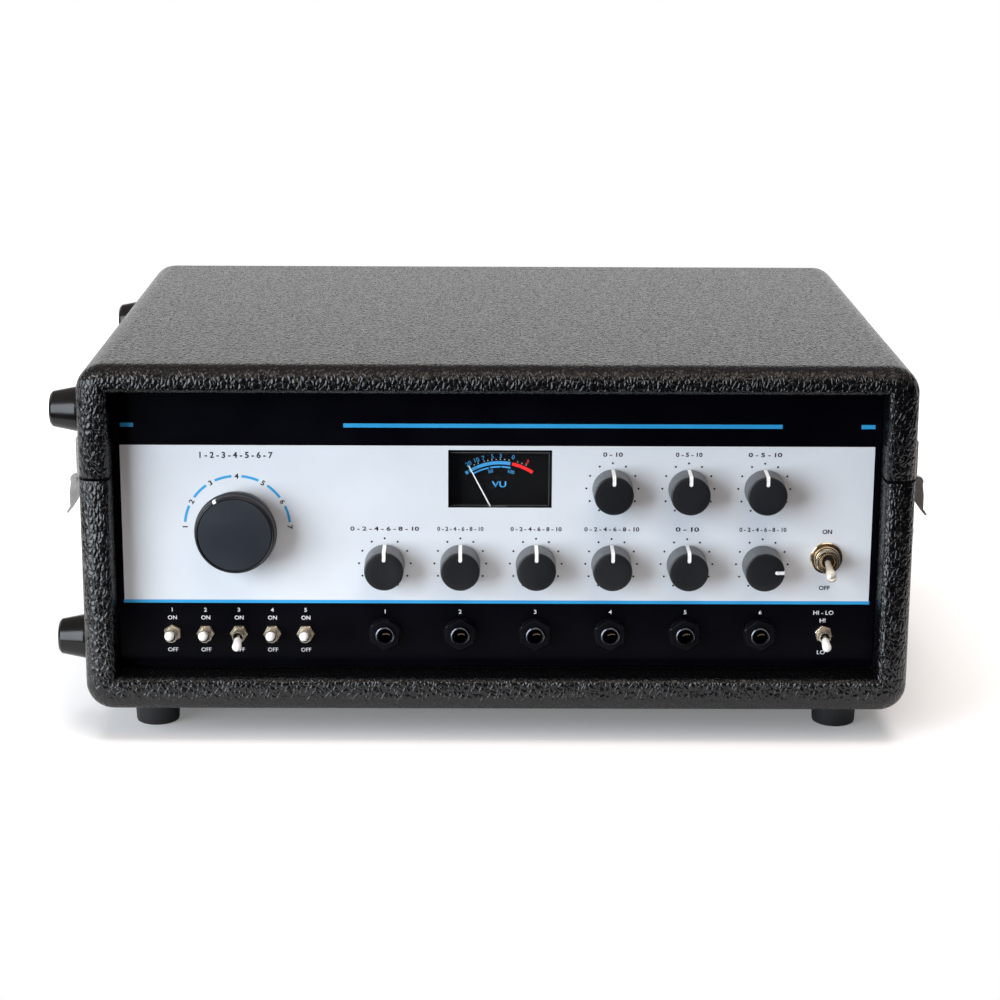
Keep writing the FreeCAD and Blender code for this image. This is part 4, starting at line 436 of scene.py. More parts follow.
# brushed metal: fine scratches along one direction
brush, given, out = new_grain("brushed_metal", "Stretch", "Vector")
drawn = node(brush, "VectorMath", {0: given["Place"], 1: given["Stretch"]}, operation="MULTIPLY")[0]
streak = noise(brush, drawn, 1000, 3)[0]
stain = noise(brush, given["Place"], 60, 2)[0]
end_grain(brush, given, out, streak, (reckoned(brush, "MULTIPLY", streak, stain), 0.12, 0.4), streak)


def brushed(name, stretch, light, dark, smooth, rough, relief=0.01, metallic=1.0):
    """A metal with fine lines; stretch is small along the lines and 1 across them."""
    return finished(name, brush, light, dark, smooth, rough, metallic, Stretch=stretch, Relief=relief / 1000)


def painted(name, piece, body, slot, finishes, choose, cuts=()):
    """Replaces a CAD node by its own shape in several finishes; choose says which a face has."""
    shape = merged(name)
    for place, normal in cuts:
        scored(shape, metres(*place), normal)
    for face in shape.faces:
        face.material_index = int(choose(face.calc_center_median() * 1000, face.normal))
    add_piece(piece, shape, finishes, body, slot, name)


panel_black = grained(
    "panel_black", (0.001, 0.001, 0.003), (0.0006, 0.0006, 0.002), 0.28, 0.36, 1500, 0.003, specular=0.12
)
panel_silver = grained("panel_silver", (0.77, 0.81, 0.86), (0.73, 0.77, 0.82), 0.42, 0.5, 2200, 0.006)
bare_aluminium = brushed("bare_aluminium", (0.03, 1, 1), (0.75, 0.76, 0.77), (0.6, 0.6, 0.61), 0.3, 0.45)
panel_y = span("front_panel")[1][0]
field_low, field_high, field_side, fold = 70.2, 153.2, 190.6, 3


def panel_finish(at, normal):
    """Silver for the field, black for the bands and the front of the folds, metal for the rest."""
    if normal.y < -0.9 and at.y < panel_y + 0.1:
        return field_low < at.z < field_high and abs(at.x) < field_side
    return 0 if normal.z < -0.5 or (normal.y < 0.5 and at.y < panel_y + fold) else 2


field_cuts = [((0, 0, z), (0, 0, 1)) for z in (field_low, field_high)]
field_cuts += [((x, 0, 0), (1, 0, 0)) for x in (-field_side, field_side)]
panel_finishes = [panel_black, panel_silver, bare_aluminium]
painted("front_panel", "printed_panel", "case", "panel_paint", panel_finishes, panel_finish, field_cuts)

# ---- printing on the panel ----
# Screen printing in black on the silver field and in white on the black bands, with blue lines.
# It is generic: scales, numbers and ON and OFF.

ink_thick = 0.03
knob_columns = [-57.3 + 38.5 * i for i in range(6)]
lower_row, upper_row, socket_row = 91.5, 131.2, 54.0
knob_places = [(f"knob_lower_{i + 1}", x, lower_row) for i, x in enumerate(knob_columns)]
knob_places += [(f"knob_upper_{i + 1}", x, upper_row) for i, x in enumerate(knob_columns[3:])]
mode_x, mode_z = -132.0, 110.5
toggle_columns = [-166.5 + 17.1 * i for i in range(5)]
right_x, power_z, level_z = 168.0, 95.0, 54.5


def upright(x, y, z, turn=0.0):
    """Places a flat shape so that it faces the front, turned clockwise by an angle."""
    stood_up = Matrix.Rotation(turn, 4, "Y") @ Matrix.Rotation(math.pi / 2, 4, "X")
    return Matrix.Translation(metres(x, y, z)) @ stood_up


def round_about(x, z, radius, degrees):
    """The x and z of a place on a circle, clockwise from its top."""
    angle = math.radians(degrees)
    return x + radius * math.sin(angle), z + radius * math.cos(angle)


def lettering(ink, words, tall, x, z, y=panel_y, turn=0.0, spread=1.12, bold=0.03, wide=0.0):
    """Adds words of this height, and width if given, to a flat shape, centred on x and z."""
    curve = bpy.data.curves.new("letters", "FONT")
    curve.body, curve.offset, curve.resolution_u = words, bold, 3
    holder = bpy.data.objects.new("letters", curve)
    mesh = bpy.data.meshes.new_from_object(holder)
    low = [min(v.co[i] for v in mesh.vertices) for i in (0, 1)]
    high = [max(v.co[i] for v in mesh.vertices) for i in (0, 1)]
    scale = tall / 1000 / (high[1] - low[1])
    across = wide / 1000 / (high[0] - low[0]) if wide else scale * spread
    middle = (-(low[0] + high[0]) / 2, -(low[1] + high[1]) / 2, 0)
    size = Matrix.Diagonal((across, scale, scale, 1))
    mesh.transform(upright(x, y, z, turn) @ size @ Matrix.Translation(middle))
    ink.from_mesh(mesh)
    bpy.data.meshes.remove(mesh)
    bpy.data.objects.remove(holder)
    bpy.data.curves.remove(curve)


def stripe(ink, x_low, x_high, z_low, z_high, y=panel_y):
    """Adds a flat bar to a flat shape that faces the front."""
    size = Matrix.Diagonal(((x_high - x_low) / 1000, (z_high - z_low) / 1000, 1, 1))
    place = upright((x_low + x_high) / 2, y, (z_low + z_high) / 2) @ size
    bmesh.ops.create_grid(ink, x_segments=1, y_segments=1, size=0.5, matrix=place)


def dot(ink, x, z, radius, y=panel_y, sides=14):
    """Adds a flat disc to a flat shape that faces the front."""
    place = upright(x, y, z)
    bmesh.ops.create_circle(ink, cap_ends=True, segments=sides, radius=radius / 1000, matrix=place)


def arc(ink, x, z, inner, outer, start, end, y=panel_y, steps=12):
    """Adds a flat band round x and z, between two clockwise angles from the top in degrees."""
    ends = [round_about(x, z, radius, start) for radius in (inner, outer)]
    points, edges = chain(ink, [(across, y, up) for across, up in ends])
    spun(ink, points + edges, metres(x, y, z), (0, 1, 0), math.radians(end - start), steps, False)


def printed(name, ink, finish, slot="panel_paint"):
    """Gives a flat print the thickness of its ink, in front of what carries it."""
    bmesh.ops.remove_doubles(ink, verts=ink.verts, dist=1e-7)
    bmesh.ops.recalc_face_normals(ink, faces=ink.faces)
    bmesh.ops.reverse_faces(ink, faces=[face for face in ink.faces if face.normal.y > 0])
    draw_out(ink, bmesh.ops.extrude_face_region(ink, geom=ink.faces[:], use_keep_orig=True), 0, -ink_thick, 0)
    bmesh.ops.recalc_face_normals(ink, faces=ink.faces)
    add_piece(name, ink, [finish], "case", slot)


ink_black = grained("ink_black", (0.012, 0.012, 0.014), (0.008, 0.008, 0.01), 0.4, 0.5, 2500, 0.003)
ink_white = grained("ink_white", (0.86, 0.87, 0.88), (0.78, 0.79, 0.8), 0.4, 0.5, 2500, 0.003)
ink_blue = grained("ink_blue", (0.03, 0.39, 0.77), (0.025, 0.34, 0.7), 0.4, 0.5, 2500, 0.003)

black = bmesh.new()
dial_radius, number_radius, number_tall = 13.2, 26.6, 2.3
for _, x, z in knob_places:
    for degrees in range(-150, 151, 30):
        dot(black, *round_about(x, z, dial_radius, degrees), 0.55)
for x, wide in zip(knob_columns, (35, 23.5, 26, 28, 12, 24)):
    lettering(black, "0 - 2 - 4 - 6 - 8 - 10" if wide > 20 else "0 - 10", number_tall, x, 109.8, wide=wide)
for x, words, wide in zip(knob_columns[3:], ("0 - 10", "0 - 5 - 10", "0 - 5 - 10"), (10, 13.5, 17)):
    lettering(black, words, number_tall, x, 148.9, wide=wide)
lettering(black, "1 - 2 - 3 - 4 - 5 - 6 - 7", 3.4, mode_x, 148.1, wide=37)
for number in range(7):
    degrees = 30 * (number - 3)
    x, z = round_about(mode_x, mode_z, number_radius, degrees)
    lettering(black, str(number + 1), 2.7, x, z, turn=math.radians(degrees))
for words, aside, z in (("ON", 0, 108.8), ("OFF", 0.4, 79)):
    lettering(black, words, 2.4, right_x - aside, z, spread=1.02)
printed("black_print", black, ink_black)

white = bmesh.new()
for x, words in zip(knob_columns, "123456"):
    lettering(white, words, 2.2, x, 65.8, spread=1.1, bold=0.02)
for number, x in enumerate(toggle_columns, 1):
    lettering(white, str(number), 2.1, x + 0.1, 66.5, spread=1.1, bold=0.02)
    for words, z in (("ON", 62.3), ("OFF", 45.1)):
        lettering(white, words, 2.2, x + 0.1, z, spread=1.02, bold=0.016)
for words, aside, z in (("HI - LO", 0.3, 65.7), ("HI", 0.6, 61.5), ("LO", 0.8, 44.4)):
    lettering(white, words, 2.2, right_x - aside, z, bold=0.016)
stripe(white, -field_side, field_side, field_high - 0.5, field_high)
printed("white_print", white, ink_white)

blue = bmesh.new()
stripe(blue, -field_side - 0.4, field_side + 0.4, field_low, field_low + 1.7)
for left, right in ((-190, -183.4), (-77.8, 143.4), (183.2, 190.2)):
    stripe(blue, left, right, 162.5, 164.6)
for gap in range(6):
    start = 30 * (gap - 3)
    arc(blue, mode_x, mode_z, 26.0, 27.3, start + 5.5, start + 24.5)
printed("blue_print", blue, ink_blue)

# ---- controls behind the panel ----
# Nine potentiometers and the rotary switch: zinc cans with a threaded brass bush, and solder
# tags of tinned phenolic board.

dress(
    grained("pot_zinc", (0.62, 0.62, 0.6), (0.46, 0.46, 0.45), 0.28, 0.45, 700, 0.02, metallic=1.0),
    "potentiometers",
)

# ---- small control knobs ----
# Black moulded knobs, a little narrower at the face, with a white line let into the side and
# over the edge. Each is pushed onto a steel shaft.

knob_black = grained("knob_black", (0.013, 0.0135, 0.0155), (0.009, 0.0095, 0.011), 0.34, 0.44, 1700, 0.012)
knob_side_painted_sheen = grained("knob_side_painted_sheen", (0.095, 0.1, 0.11), (0.065, 0.07, 0.078), 0.3, 0.4, 420, 0.02)
pointer_white = grained("pointer_white", (0.94, 0.94, 0.93), (0.89, 0.89, 0.88), 0.35, 0.45, 1500, 0.005)
shaft_steel = brushed("shaft_steel", (1, 0.05, 1), (0.6, 0.6, 0.6), (0.45, 0.45, 0.45), 0.25, 0.4)
knob_profile = [(7.6, 6), (7.6, 1), (9.95, 1), (10.25, 1.3), (9.96, 15.2), (9.86, 15.62)]
knob_profile += [(9.62, 15.88), (9.2, 16), (6.0, 15.96), (0, 15.94)]
pointer_path = [(10.31, 1.6), (9.995, 15.25), (9.86, 15.7), (9.66, 15.96), (9.15, 16.06), (5.9, 16.06)]


def on_panel(x, z, turn=0.0):
    """Places a shape made along +Z so that it stands out of the panel."""
    return facing(x, panel_y, z, (0, -1, 0), turn)


def pointer_line(path, width, round_end=True):
    """A line up a knob's side and over its edge, by (radius, height), that points along +Y."""
    shape = bmesh.new()
    _, edges = chain(shape, [(-width / 2, radius, height) for radius, height in path])
    draw_out(shape, bmesh.ops.extrude_edge_only(shape, edges=edges), width, 0, 0)
    if round_end:
        end = Matrix.Translation(metres(0, *path[-1]))
        bmesh.ops.create_circle(shape, cap_ends=True, segments=20, radius=width / 2000, matrix=end)
    bmesh.ops.remove_doubles(shape, verts=shape.verts, dist=1e-6)
    bmesh.ops.recalc_face_normals(shape, faces=shape.faces)
    bmesh.ops.solidify(shape, geom=shape.faces[:], thickness=0.0004)
    sharpen(shape, 40)
    return shape


for name, x, z in knob_places:
    cap = gathered(turned(knob_profile, 64), [on_panel(x, z)])
    # the sides of each cap take a lighter grey than its black face: painted sheen on one black moulding
    for face in cap.faces:
        face.material_index = int(panel_y - 15.4 < face.calc_center_median().y * 1000 < panel_y - 1.2)
    add_piece(f"{name}_cap", cap, [knob_black, knob_side_painted_sheen], name, "knob_plastic", name)
    shaft = turned([(0, -11), (3, -11), (3, 6.2), (7.5, 6.2), (7.5, 5.9)], 32)
    fitted(f"{name}_shaft", shaft, [on_panel(x, z)], shaft_steel, "pot_metal", body=name)
    place = upright(x, panel_y, z, math.radians(90 if name == "knob_lower_6" else 0))
    line = pointer_line(pointer_path, 1.8)
    fitted(f"{name}_pointer", line, [place], pointer_white, "knob_plastic", body=name)

# ---- mode knob ----
# The large selector knob: a moulded skirt with a raised rim, a groove and a flat black disc of
# anodised aluminium glued into its face. A white tick crosses the rim.

disc_black = grained("disc_black", (0.024, 0.028, 0.036), (0.019, 0.022, 0.029), 0.36, 0.46, 2200, 0.006)
skirt_black = grained(
    "skirt_black", (0.016, 0.016, 0.019), (0.01, 0.01, 0.012), 0.3, 0.42, 1500, 0.02, specular=0.3
)
skirt = [(17, 6), (17, 1), (18.8, 1), (19.1, 1.4), (19.6, 6), (20.75, 9.6), (20.9, 10.2), (20.85, 10.9)]
skirt += [(20.45, 11.9), (20.25, 12.3), (20.2, 14.9), (20.05, 15.6), (19.7, 16.2), (19.2, 16.5)]
skirt += [(18.95, 16.4), (18.85, 15.7), (18.3, 15.6), (0, 15.6)]
disc = [(0, 15.7), (18.35, 15.7), (18.45, 15.9), (18.45, 16.2), (18.3, 16.35), (17.9, 16.38), (0, 16.38)]
shaft = [(0, -11), (3, -11), (3, 6.2), (16.9, 6.2), (16.9, 5.9)]
for name, part, finish, slot, *nodes in (
    ("mode_knob_skirt", turned(skirt, 96), skirt_black, "knob_plastic", "mode_knob"),
    ("mode_knob_disc", turned(disc, 96), disc_black, "knob_plastic"),
    ("mode_knob_shaft", turned(shaft, 32), shaft_steel, "pot_metal"),
):
    fitted(name, part, [on_panel(mode_x, mode_z)], finish, slot, *nodes, body="mode_knob")
tick_path = [(20.3, 12.6), (20.26, 14.95), (20.1, 15.65), (19.75, 16.26), (19.2, 16.56), (18.95, 16.5)]
tick = pointer_line(tick_path, 1.7, round_end=False)
tick_place = upright(mode_x, panel_y, mode_z, math.radians(-30))
fitted("mode_knob_tick", tick, [tick_place], pointer_white, "knob_plastic", body="mode_knob")

# ---- quarter-inch sockets ----
# Six moulded sockets behind the panel. A threaded barrel comes through and holds a hexagon nut
# on a round washer; a spring contact can be seen in each bore.


def nut(flats, low, high, chamfer, hole):
    """A bored hexagon nut along +Z with a chamfered top, its flats at left and right; sizes in mm."""
    rim, sixth = flats / math.sqrt(3), math.pi / 3
    profile = [(hole, low), (rim, low), (rim, high - chamfer), (rim - chamfer, high), (hole, high), (hole, low)]
    shape = turned(profile, 48)
    for vert in shape.verts:
        radius = vert.co.xy.length * 1000
        if radius > hole + 0.1:
            angle = math.atan2(vert.co.y, vert.co.x)
            side = flats / 2 / math.cos((angle + sixth / 2) % sixth - sixth / 2)
            vert.co.xy *= (side - rim + radius) / radius
    sharpen(shape, 25)
    return shape


def threaded(outer, inner, low, high, pitch, depth):
    """A threaded tube along +Z as fine rings, with a chamfered mouth; sizes in millimetres."""
    profile = [(inner, low), (outer - depth, low)]
    height = low
    while height + pitch < high - depth * 2:
        for across, up in ((outer - depth, 0.15), (outer, 0.5), (outer - depth, 0.85)):
            profile.append((across, height + pitch * up))
        height += pitch
    profile += [(outer - depth, height), (outer - depth, high - depth), (outer - depth * 2, high)]
    profile += [(inner + depth * 1.2, high), (inner, high - depth * 1.2), (inner, low)]
    return turned(profile, 40)


nut_black = grained(
    "nut_black", (0.004, 0.004, 0.006), (0.0025, 0.0025, 0.004), 0.26, 0.38, 1400, 0.01, specular=0.16
)
ferrule = grained("ferrule", (0.16, 0.17, 0.2), (0.09, 0.095, 0.11), 0.2, 0.32, 1100, 0.01, metallic=1.0)
contact_bronze = brushed(
    "contact_bronze", (1, 0.05, 1), (0.3, 0.2, 0.13), (0.2, 0.13, 0.08), 0.3, 0.45, metallic=0.2
)
# The socket mouldings are black plastic, made blacker than plastic and without gloss: painted shade deep in the
# bores.
dress(
    grained("socket_black_and_bore_shade", (0.0012, 0.0012, 0.0014), (0.0008, 0.0008, 0.0009), 0.8, 0.95, specular=0.0),
    "jack_sockets",
)
socket_places = [on_panel(x, socket_row, 0.05 * (i - 2)) for i, x in enumerate(knob_columns)]
hexagon = nut(15, 0.7, 3.6, 0.55, 4.7)
fitted("socket_nuts", hexagon, socket_places, nut_black, "socket_plastic", "jack_nuts")
washer = [(4.9, 0), (8.4, 0), (8.5, 0.3), (8.2, 0.7), (4.9, 0.7), (4.9, 0)]
fitted("socket_washers", turned(washer, 40), socket_places, nut_black, "socket_plastic")
barrel = [(4.8, 3.4), (4.9, 4.3), (4.75, 4.75), (4.4, 4.95), (4.0, 4.85), (3.75, 4.5), (3.7, 3.4), (4.8, 3.4)]
fitted("socket_barrels", turned(barrel, 40), socket_places, ferrule, "socket_plastic")
contact, contact_length, contact_width = bmesh.new(), 0.0038, 0.0018
flat = Matrix.Diagonal((contact_length, contact_width, 1, 1))
bmesh.ops.create_grid(contact, x_segments=6, y_segments=1, size=0.5, matrix=flat)
for vert in contact.verts:
    vert.co.z = -0.0005 * math.sin((vert.co.x / contact_length + 0.5) * math.pi)
bmesh.ops.solidify(contact, geom=contact.faces[:], thickness=0.0003)
sharpen(contact, 40)
across_bore = upright(0.6, 0.1, 2.2) @ Matrix.Rotation(0.06, 4, "Y")
contact_places = [place @ across_bore for place in socket_places]
fitted("socket_contacts", contact, contact_places, contact_bronze, "switch_nickel")

# ---- lever switches ----
# Seven switches with threaded bushes. Thin nuts of nickel-plated brass hold them; the levers are
# plated brass with a rounded tip, and the six small ones wear a white sleeve.

nickel = grained("nickel", (0.86, 0.78, 0.64), (0.66, 0.58, 0.45), 0.2, 0.32, 1300, 0.012, metallic=0.85)
bright_nickel = grained("bright_nickel", (0.96, 0.92, 0.83), (0.88, 0.83, 0.72), 0.2, 0.3, 900, 0.006, 0.5)
sleeve_white = grained("sleeve_white", (0.93, 0.92, 0.9), (0.87, 0.86, 0.84), 0.25, 0.38, 1200, 0.01)
gilt_nickel = grained("gilt_nickel", (0.96, 0.82, 0.6), (0.7, 0.55, 0.36), 0.1, 0.2, 900, 0.008, metallic=1.0)
plated_lever = grained("plated_lever", (0.97, 0.91, 0.8), (0.86, 0.78, 0.64), 0.16, 0.26, 900, 0.006, 0.55)
lever_ball_painted_shade = grained("lever_ball_painted_shade", (0.03, 0.025, 0.02), (0.015, 0.012, 0.01), 0.4, 0.55, 900, 0.01)
switch_blue = grained("switch_blue", (0.03, 0.06, 0.14), (0.02, 0.04, 0.1), 0.4, 0.55)
point_up = math.pi / 6
nut_turns = (0.03, point_up, point_up - 0.06, point_up + 0.05, point_up, 0.26)
small_spots = [(x, socket_row) for x in toggle_columns] + [(right_x, level_z)]
small_places = [on_panel(*spot, turn) for spot, turn in zip(small_spots, nut_turns)]
power_place = on_panel(right_x, power_z)
panel_back = panel_y + 1
painted(
    "switch_bodies", "switch_cans", "case", "switch_body", [switch_blue, nickel],
    lambda at, normal: at.y < panel_back, cuts=[((0, panel_back, 0), (0, 1, 0))],
)
hexagon = nut(8, 0.05, 2, 0.3, 2.9)
fitted("small_switch_nuts", hexagon, small_places, nickel, "switch_nickel", "switch_nuts")
washer = [(5.9, 0), (8.1, 0), (8.3, 0.3), (8.2, 0.95), (7.85, 1.2), (7.35, 1.15), (7.05, 0.85)]
washer += [(6.95, 0.3), (5.9, 0.3)]
ring = [(5.95, 0.3), (6.5, 0.4), (6.65, 1.4), (6.65, 3.0), (6.4, 3.5), (6.1, 3.6), (5.95, 3.3)]
collar = [(3.2, 7.0), (3.2, 7.9), (3.5, 8.3), (4.1, 8.3), (4.5, 7.9), (4.58, 7.0)]
for part, profile in (("washer", washer), ("ring", ring), ("collar", collar)):
    shape = turned(profile + profile[:1], 56)
    fitted(f"power_switch_{part}", shape, [power_place], gilt_nickel, "switch_nickel")
bush = threaded(3.02, 2.43, 1.9, 7.52, 0.6, 0.14)
fitted("small_switch_bushes", bush, small_places, nickel, "switch_nickel")
bush = threaded(5.92, 4.58, 3.3, 8.52, 0.9, 0.22)
fitted("power_switch_bush", bush, [power_place], gilt_nickel, "switch_nickel")

# each lever: a ball in the bush, painted dark as the shade in the bush's mouth, a bright shaft, and on the
# small ones a white sleeve
lever_lean = math.radians(12.5)
sleeve = [(0, 5.9), (1.75, 5.9), (1.95, 6.3), (2.3, 11.5), (2.35, 12.6), (2.2, 13.6), (1.7, 14.35)]
sleeve += [(0.9, 14.75), (0, 14.85)]
levers = [(f"toggle_lever_{i + 1}", x, socket_row, 1 if i != 2 else -1) for i, x in enumerate(toggle_columns)]
levers += [("level_lever", right_x, level_z, -1), ("power_lever", right_x, power_z, -1)]
for name, x, z, way in levers:
    small = name != "power_lever"
    pivot = Vector((x, panel_y - (2.2 if small else 2.0), z))
    ball = 2.7 if small else 4.8
    painted(
        name, f"{name}_bat", name, "switch_nickel", [bright_nickel if small else plated_lever, lever_ball_painted_shade],
        lambda at, normal: (at - pivot).length < ball,
    )
    if small:
        aim = (0, -math.cos(lever_lean), way * math.sin(lever_lean))
        place = facing(*pivot, aim)
        fitted(f"{name}_sleeve", turned(sleeve, 32), [place], sleeve_white, "lever_white", body=name)

# ---- level meter ----
# A moulded black housing behind a glass pane. The card is black with a blue and a red scale; a
# thin light needle swings over it from a pivot behind a round cover.

meter_x, pivot_z, scale_z = 1.25, 111.0, 112.8
card_y = span("meter_dial")[1][0] - 0.05
card_black = grained(
    "card_black", (0.0035, 0.003, 0.0035), (0.002, 0.0018, 0.002), 0.6, 0.75, 1800, 0.008, specular=0.1
)
needle_light = grained("needle_light", (0.78, 0.76, 0.72), (0.7, 0.68, 0.64), 0.4, 0.5)
cover_grey = grained("cover_grey", (0.07, 0.068, 0.066), (0.05, 0.048, 0.046), 0.3, 0.42)
scale_blue = grained("scale_blue", (0.05, 0.36, 0.72), (0.04, 0.3, 0.64), 0.45, 0.55)
scale_red = grained("scale_red", (0.95, 0.012, 0.01), (0.86, 0.01, 0.008), 0.45, 0.55)
bevel_highlight_grey = grained("bevel_highlight_grey", (0.13, 0.13, 0.135), (0.09, 0.09, 0.095), 0.4, 0.5)
dress(
    grained("meter_black", (0.008, 0.008, 0.009), (0.005, 0.005, 0.006), 0.4, 0.55, specular=0.2),
    "meter_housing",
)
dress(card_black, "meter_dial")
needle, needle_length = merged("meter_needle"), 0.0345
needle_turn = math.radians(-27.6)
along = Vector((math.sin(needle_turn), 0, math.cos(needle_turn)))
scored(needle, metres(meter_x, 0, pivot_z) + along * needle_length, along, clear_outer=True)
bmesh.ops.holes_fill(needle, edges=[e for e in needle.edges if e.is_boundary])
add_piece("meter_pointer", needle, [needle_light], "meter_needle", "needle_black", "meter_needle")


def clear_finish(name, colour, ior, scale, smooth, rough):
    """Glass or clear plastic with faint smears; it lets lamp light through without a shadow."""
    values = {"Base Color": (*colour, 1), "Transmission Weight": 1.0, "IOR": ior}
    finish, tree, shader, place = new_finish(name, values)
    smear = noise(tree, place, scale, 3)[0]
    fill(tree, shader, {"Roughness": ranged(tree, smear, 0.4, 0.8, smooth, rough)})
    shadow, clear = node(tree, "LightPath")["Is Shadow Ray"], node(tree, "BsdfTransparent")[0]
    glass = tree.nodes["Principled BSDF"].outputs[0]
    through = node(tree, "MixShader", {0: shadow, 1: glass, 2: clear})[0]
    fill(tree, tree.nodes["Material Output"].inputs, {"Surface": through})
    return finish


dress(clear_finish("meter_glass", (0.96, 0.97, 0.97), 1.48, 160, 0.015, 0.05), "meter_window")

blue = bmesh.new()
scale_band, dot_circle = (28.8, 30.5), 31.4
for start, end, steps in ((-36, -33.2, 2), (-31.8, 10.3, 22)):
    arc(blue, meter_x, scale_z, *scale_band, start, end, card_y, steps)
for start, end, steps in ((-30.6, -12, 8), (-10.4, 0.4, 6), (1.6, 11.2, 5)):
    arc(blue, meter_x, scale_z, 27.1, 27.9, start, end, card_y, steps)


def round_scale(ink, words, degrees, out=33.2, tall=2.3):
    """Adds a number to the meter's scale, leaning with it, this far out from its centre."""
    x, z = round_about(meter_x, scale_z, out, degrees)
    lettering(ink, words, tall, x, z, card_y, math.radians(degrees), 1.0, 0.012)


for degrees, words in ((-28.9, "20"), (-20.8, "10"), (-14.8, "7"), (-6.7, "5"), (0.5, "3"), (11.7, "0")):
    round_scale(blue, words, degrees)
round_scale(blue, "50", -10.7, 25.6, 1.9)
round_scale(blue, "100", 13, 25.5, 1.9)
lettering(blue, "VU", 3.2, meter_x - 0.4, 131.1, card_y, 0, 1.3, 0.02)
printed("meter_blue_print", blue, scale_blue, slot="meter_card")
red = bmesh.new()
arc(red, meter_x, scale_z, *scale_band, 12.1, 34.1, card_y, 12)
round_scale(red, "3", 24.9)
printed("meter_red_print", red, scale_red, slot="meter_card")
pale = bmesh.new()
for degrees in (-29.2, -24.7, -20.8, -14.7, -11.3, -7.6, -3.6, 0.4, 4.4, 8.4, 16.6, 20.8, 25.1):
    dot(pale, *round_about(meter_x, scale_z, dot_circle, degrees), 0.24, card_y, 8)
printed("meter_dots", pale, ink_white, slot="meter_card")
pane_y = span("meter_window")[1][0]
# a thin grey line along the top, right and bottom of the window, drawn on the pane: a painted highlight on the
# window's bevelled edge
bevel_highlight = bmesh.new()
stripe(bevel_highlight, -24.1, 26.2, 149.05, 149.35, pane_y)
stripe(bevel_highlight, 25.9, 26.2, 121.8, 149.5, pane_y)
stripe(bevel_highlight, -23.8, 25.9, 121.6, 121.85, pane_y)
printed("meter_bevel_highlight", bevel_highlight, bevel_highlight_grey, slot="meter_card")
cover = turned([(2.6, 0.1), (9.1, 0.1), (9.3, 0.3), (9.1, 0.8), (8.6, 1.1), (2.6, 1.1), (2.6, 0.1)], 64)
cover_place = facing(meter_x, card_y, pivot_z, (0, -1, 0))
fitted("meter_pivot_cover", cover, [cover_place], cover_grey, "meter_case")

# ---- chassis and deck ----
# A folded tray of zinc-plated steel carries the electronics. Above it the deck, a steel plate in
# grey hammered enamel, stands on four posts.

zinc_plate = grained("zinc_plate", (0.68, 0.68, 0.64), (0.5, 0.5, 0.46), 0.3, 0.5, 260, 0.01, metallic=1.0)
tray_front = span("chassis_tray")[1][0]
# the tray's front faces, seen through the gap under the panel, are painted black: painted shade for that gap
painted(
    "chassis_tray", "zinc_tray", "case", "chassis_zinc", [zinc_plate, panel_black],
    lambda at, normal: at.y < tray_front + 0.1 and normal.y < -0.5,
)
dress(grained("deck_enamel", (0.2, 0.215, 0.23), (0.12, 0.13, 0.145), 0.25, 0.4, 420, 0.12), "deck_plate")
post_margin, deck_thick = 12, 2
deck_xs, deck_ys, deck_zs = span("deck_plate", post_margin)
deck_top = deck_zs[0] - post_margin + deck_thick
corners = [(x, y) for x in deck_xs for y in deck_ys]
deck_places = [facing(x, y, deck_top, (0, 0, 1), 0.4 * i) for i, (x, y) in enumerate(corners)]
add_screws("deck_screws", 4.0, 2.4, deck_places)

# ---- capstan, motor and pinch roller ----
# The motor hangs under the deck in a black drawn can. Its shaft is the capstan; a brass flywheel
# steadies it, and a steel arm with a rubber roller presses the tape on.

flywheel_brass = brushed("flywheel_brass", (1, 1, 0.05), (0.8, 0.62, 0.3), (0.62, 0.46, 0.2), 0.18, 0.32)
arm_steel = brushed("arm_steel", (0.06, 1, 1), (0.66, 0.66, 0.66), (0.48, 0.48, 0.48), 0.2, 0.35)
dress(grained("motor_enamel", (0.02, 0.021, 0.023), (0.012, 0.0125, 0.014), 0.25, 0.4), "capstan_motor")
spin_xs, spin_ys, _ = span("capstan_flywheel")
spin_x, spin_y = sum(spin_xs) / 2, sum(spin_ys) / 2
painted(
    "capstan_flywheel", "brass_flywheel", "capstan", "screw_brass", [flywheel_brass, arm_steel],
    lambda at, normal: math.hypot(at.x - spin_x, at.y - spin_y) < 5,
)
dress(arm_steel, "pinch_arm")
dress(
    grained("roller_rubber", (0.02, 0.02, 0.02), (0.013, 0.013, 0.013), 0.45, 0.65, 900, 0.03),
    "pinch_roller",
)
dress(grained("coil_yellow", (0.72, 0.5, 0.12), (0.6, 0.4, 0.08), 0.3, 0.45, 600, 0.05), "pinch_solenoid")

# ---- tape heads ----
# Five heads in mu-metal cans with polished faces, and flanged brass guides, on an aluminium
# plate that runs along the tape's front edge.

dress(bare_aluminium, "head_mount")
dress(brushed("mu_metal", (1, 0.1, 1), (0.72, 0.7, 0.66), (0.55, 0.53, 0.5), 0.1, 0.24), "tape_heads")

# ---- tape bin and loop ----
# The endless loop lies on edge in loose folds in a shallow moulded bin, under a clear acrylic
# cover that two pairs of knurled brass screws hold down.

dress(grained("bin_black", (0.028, 0.028, 0.03), (0.018, 0.018, 0.019), 0.35, 0.5, 700, 0.04), "tape_tray")
dress(clear_finish("clear_acrylic", (0.95, 0.97, 0.97), 1.49, 240, 0.02, 0.08), "tape_cover")
dress(brushed("screw_brass", (1, 1, 0.1), (0.85, 0.66, 0.32), (0.66, 0.48, 0.2), 0.16, 0.3), "cover_screws")
dress(
    brushed("tape_brown", (0.05, 0.05, 1), (0.1, 0.045, 0.025), (0.07, 0.03, 0.018), 0.2, 0.34, metallic=0),
    "tape_loop",
)

# ---- transformer, reverb tank and board ----
# They stand in the chassis tray under the deck: a laminated mains transformer, the spring pan in
# its galvanised tray, and the green main board.

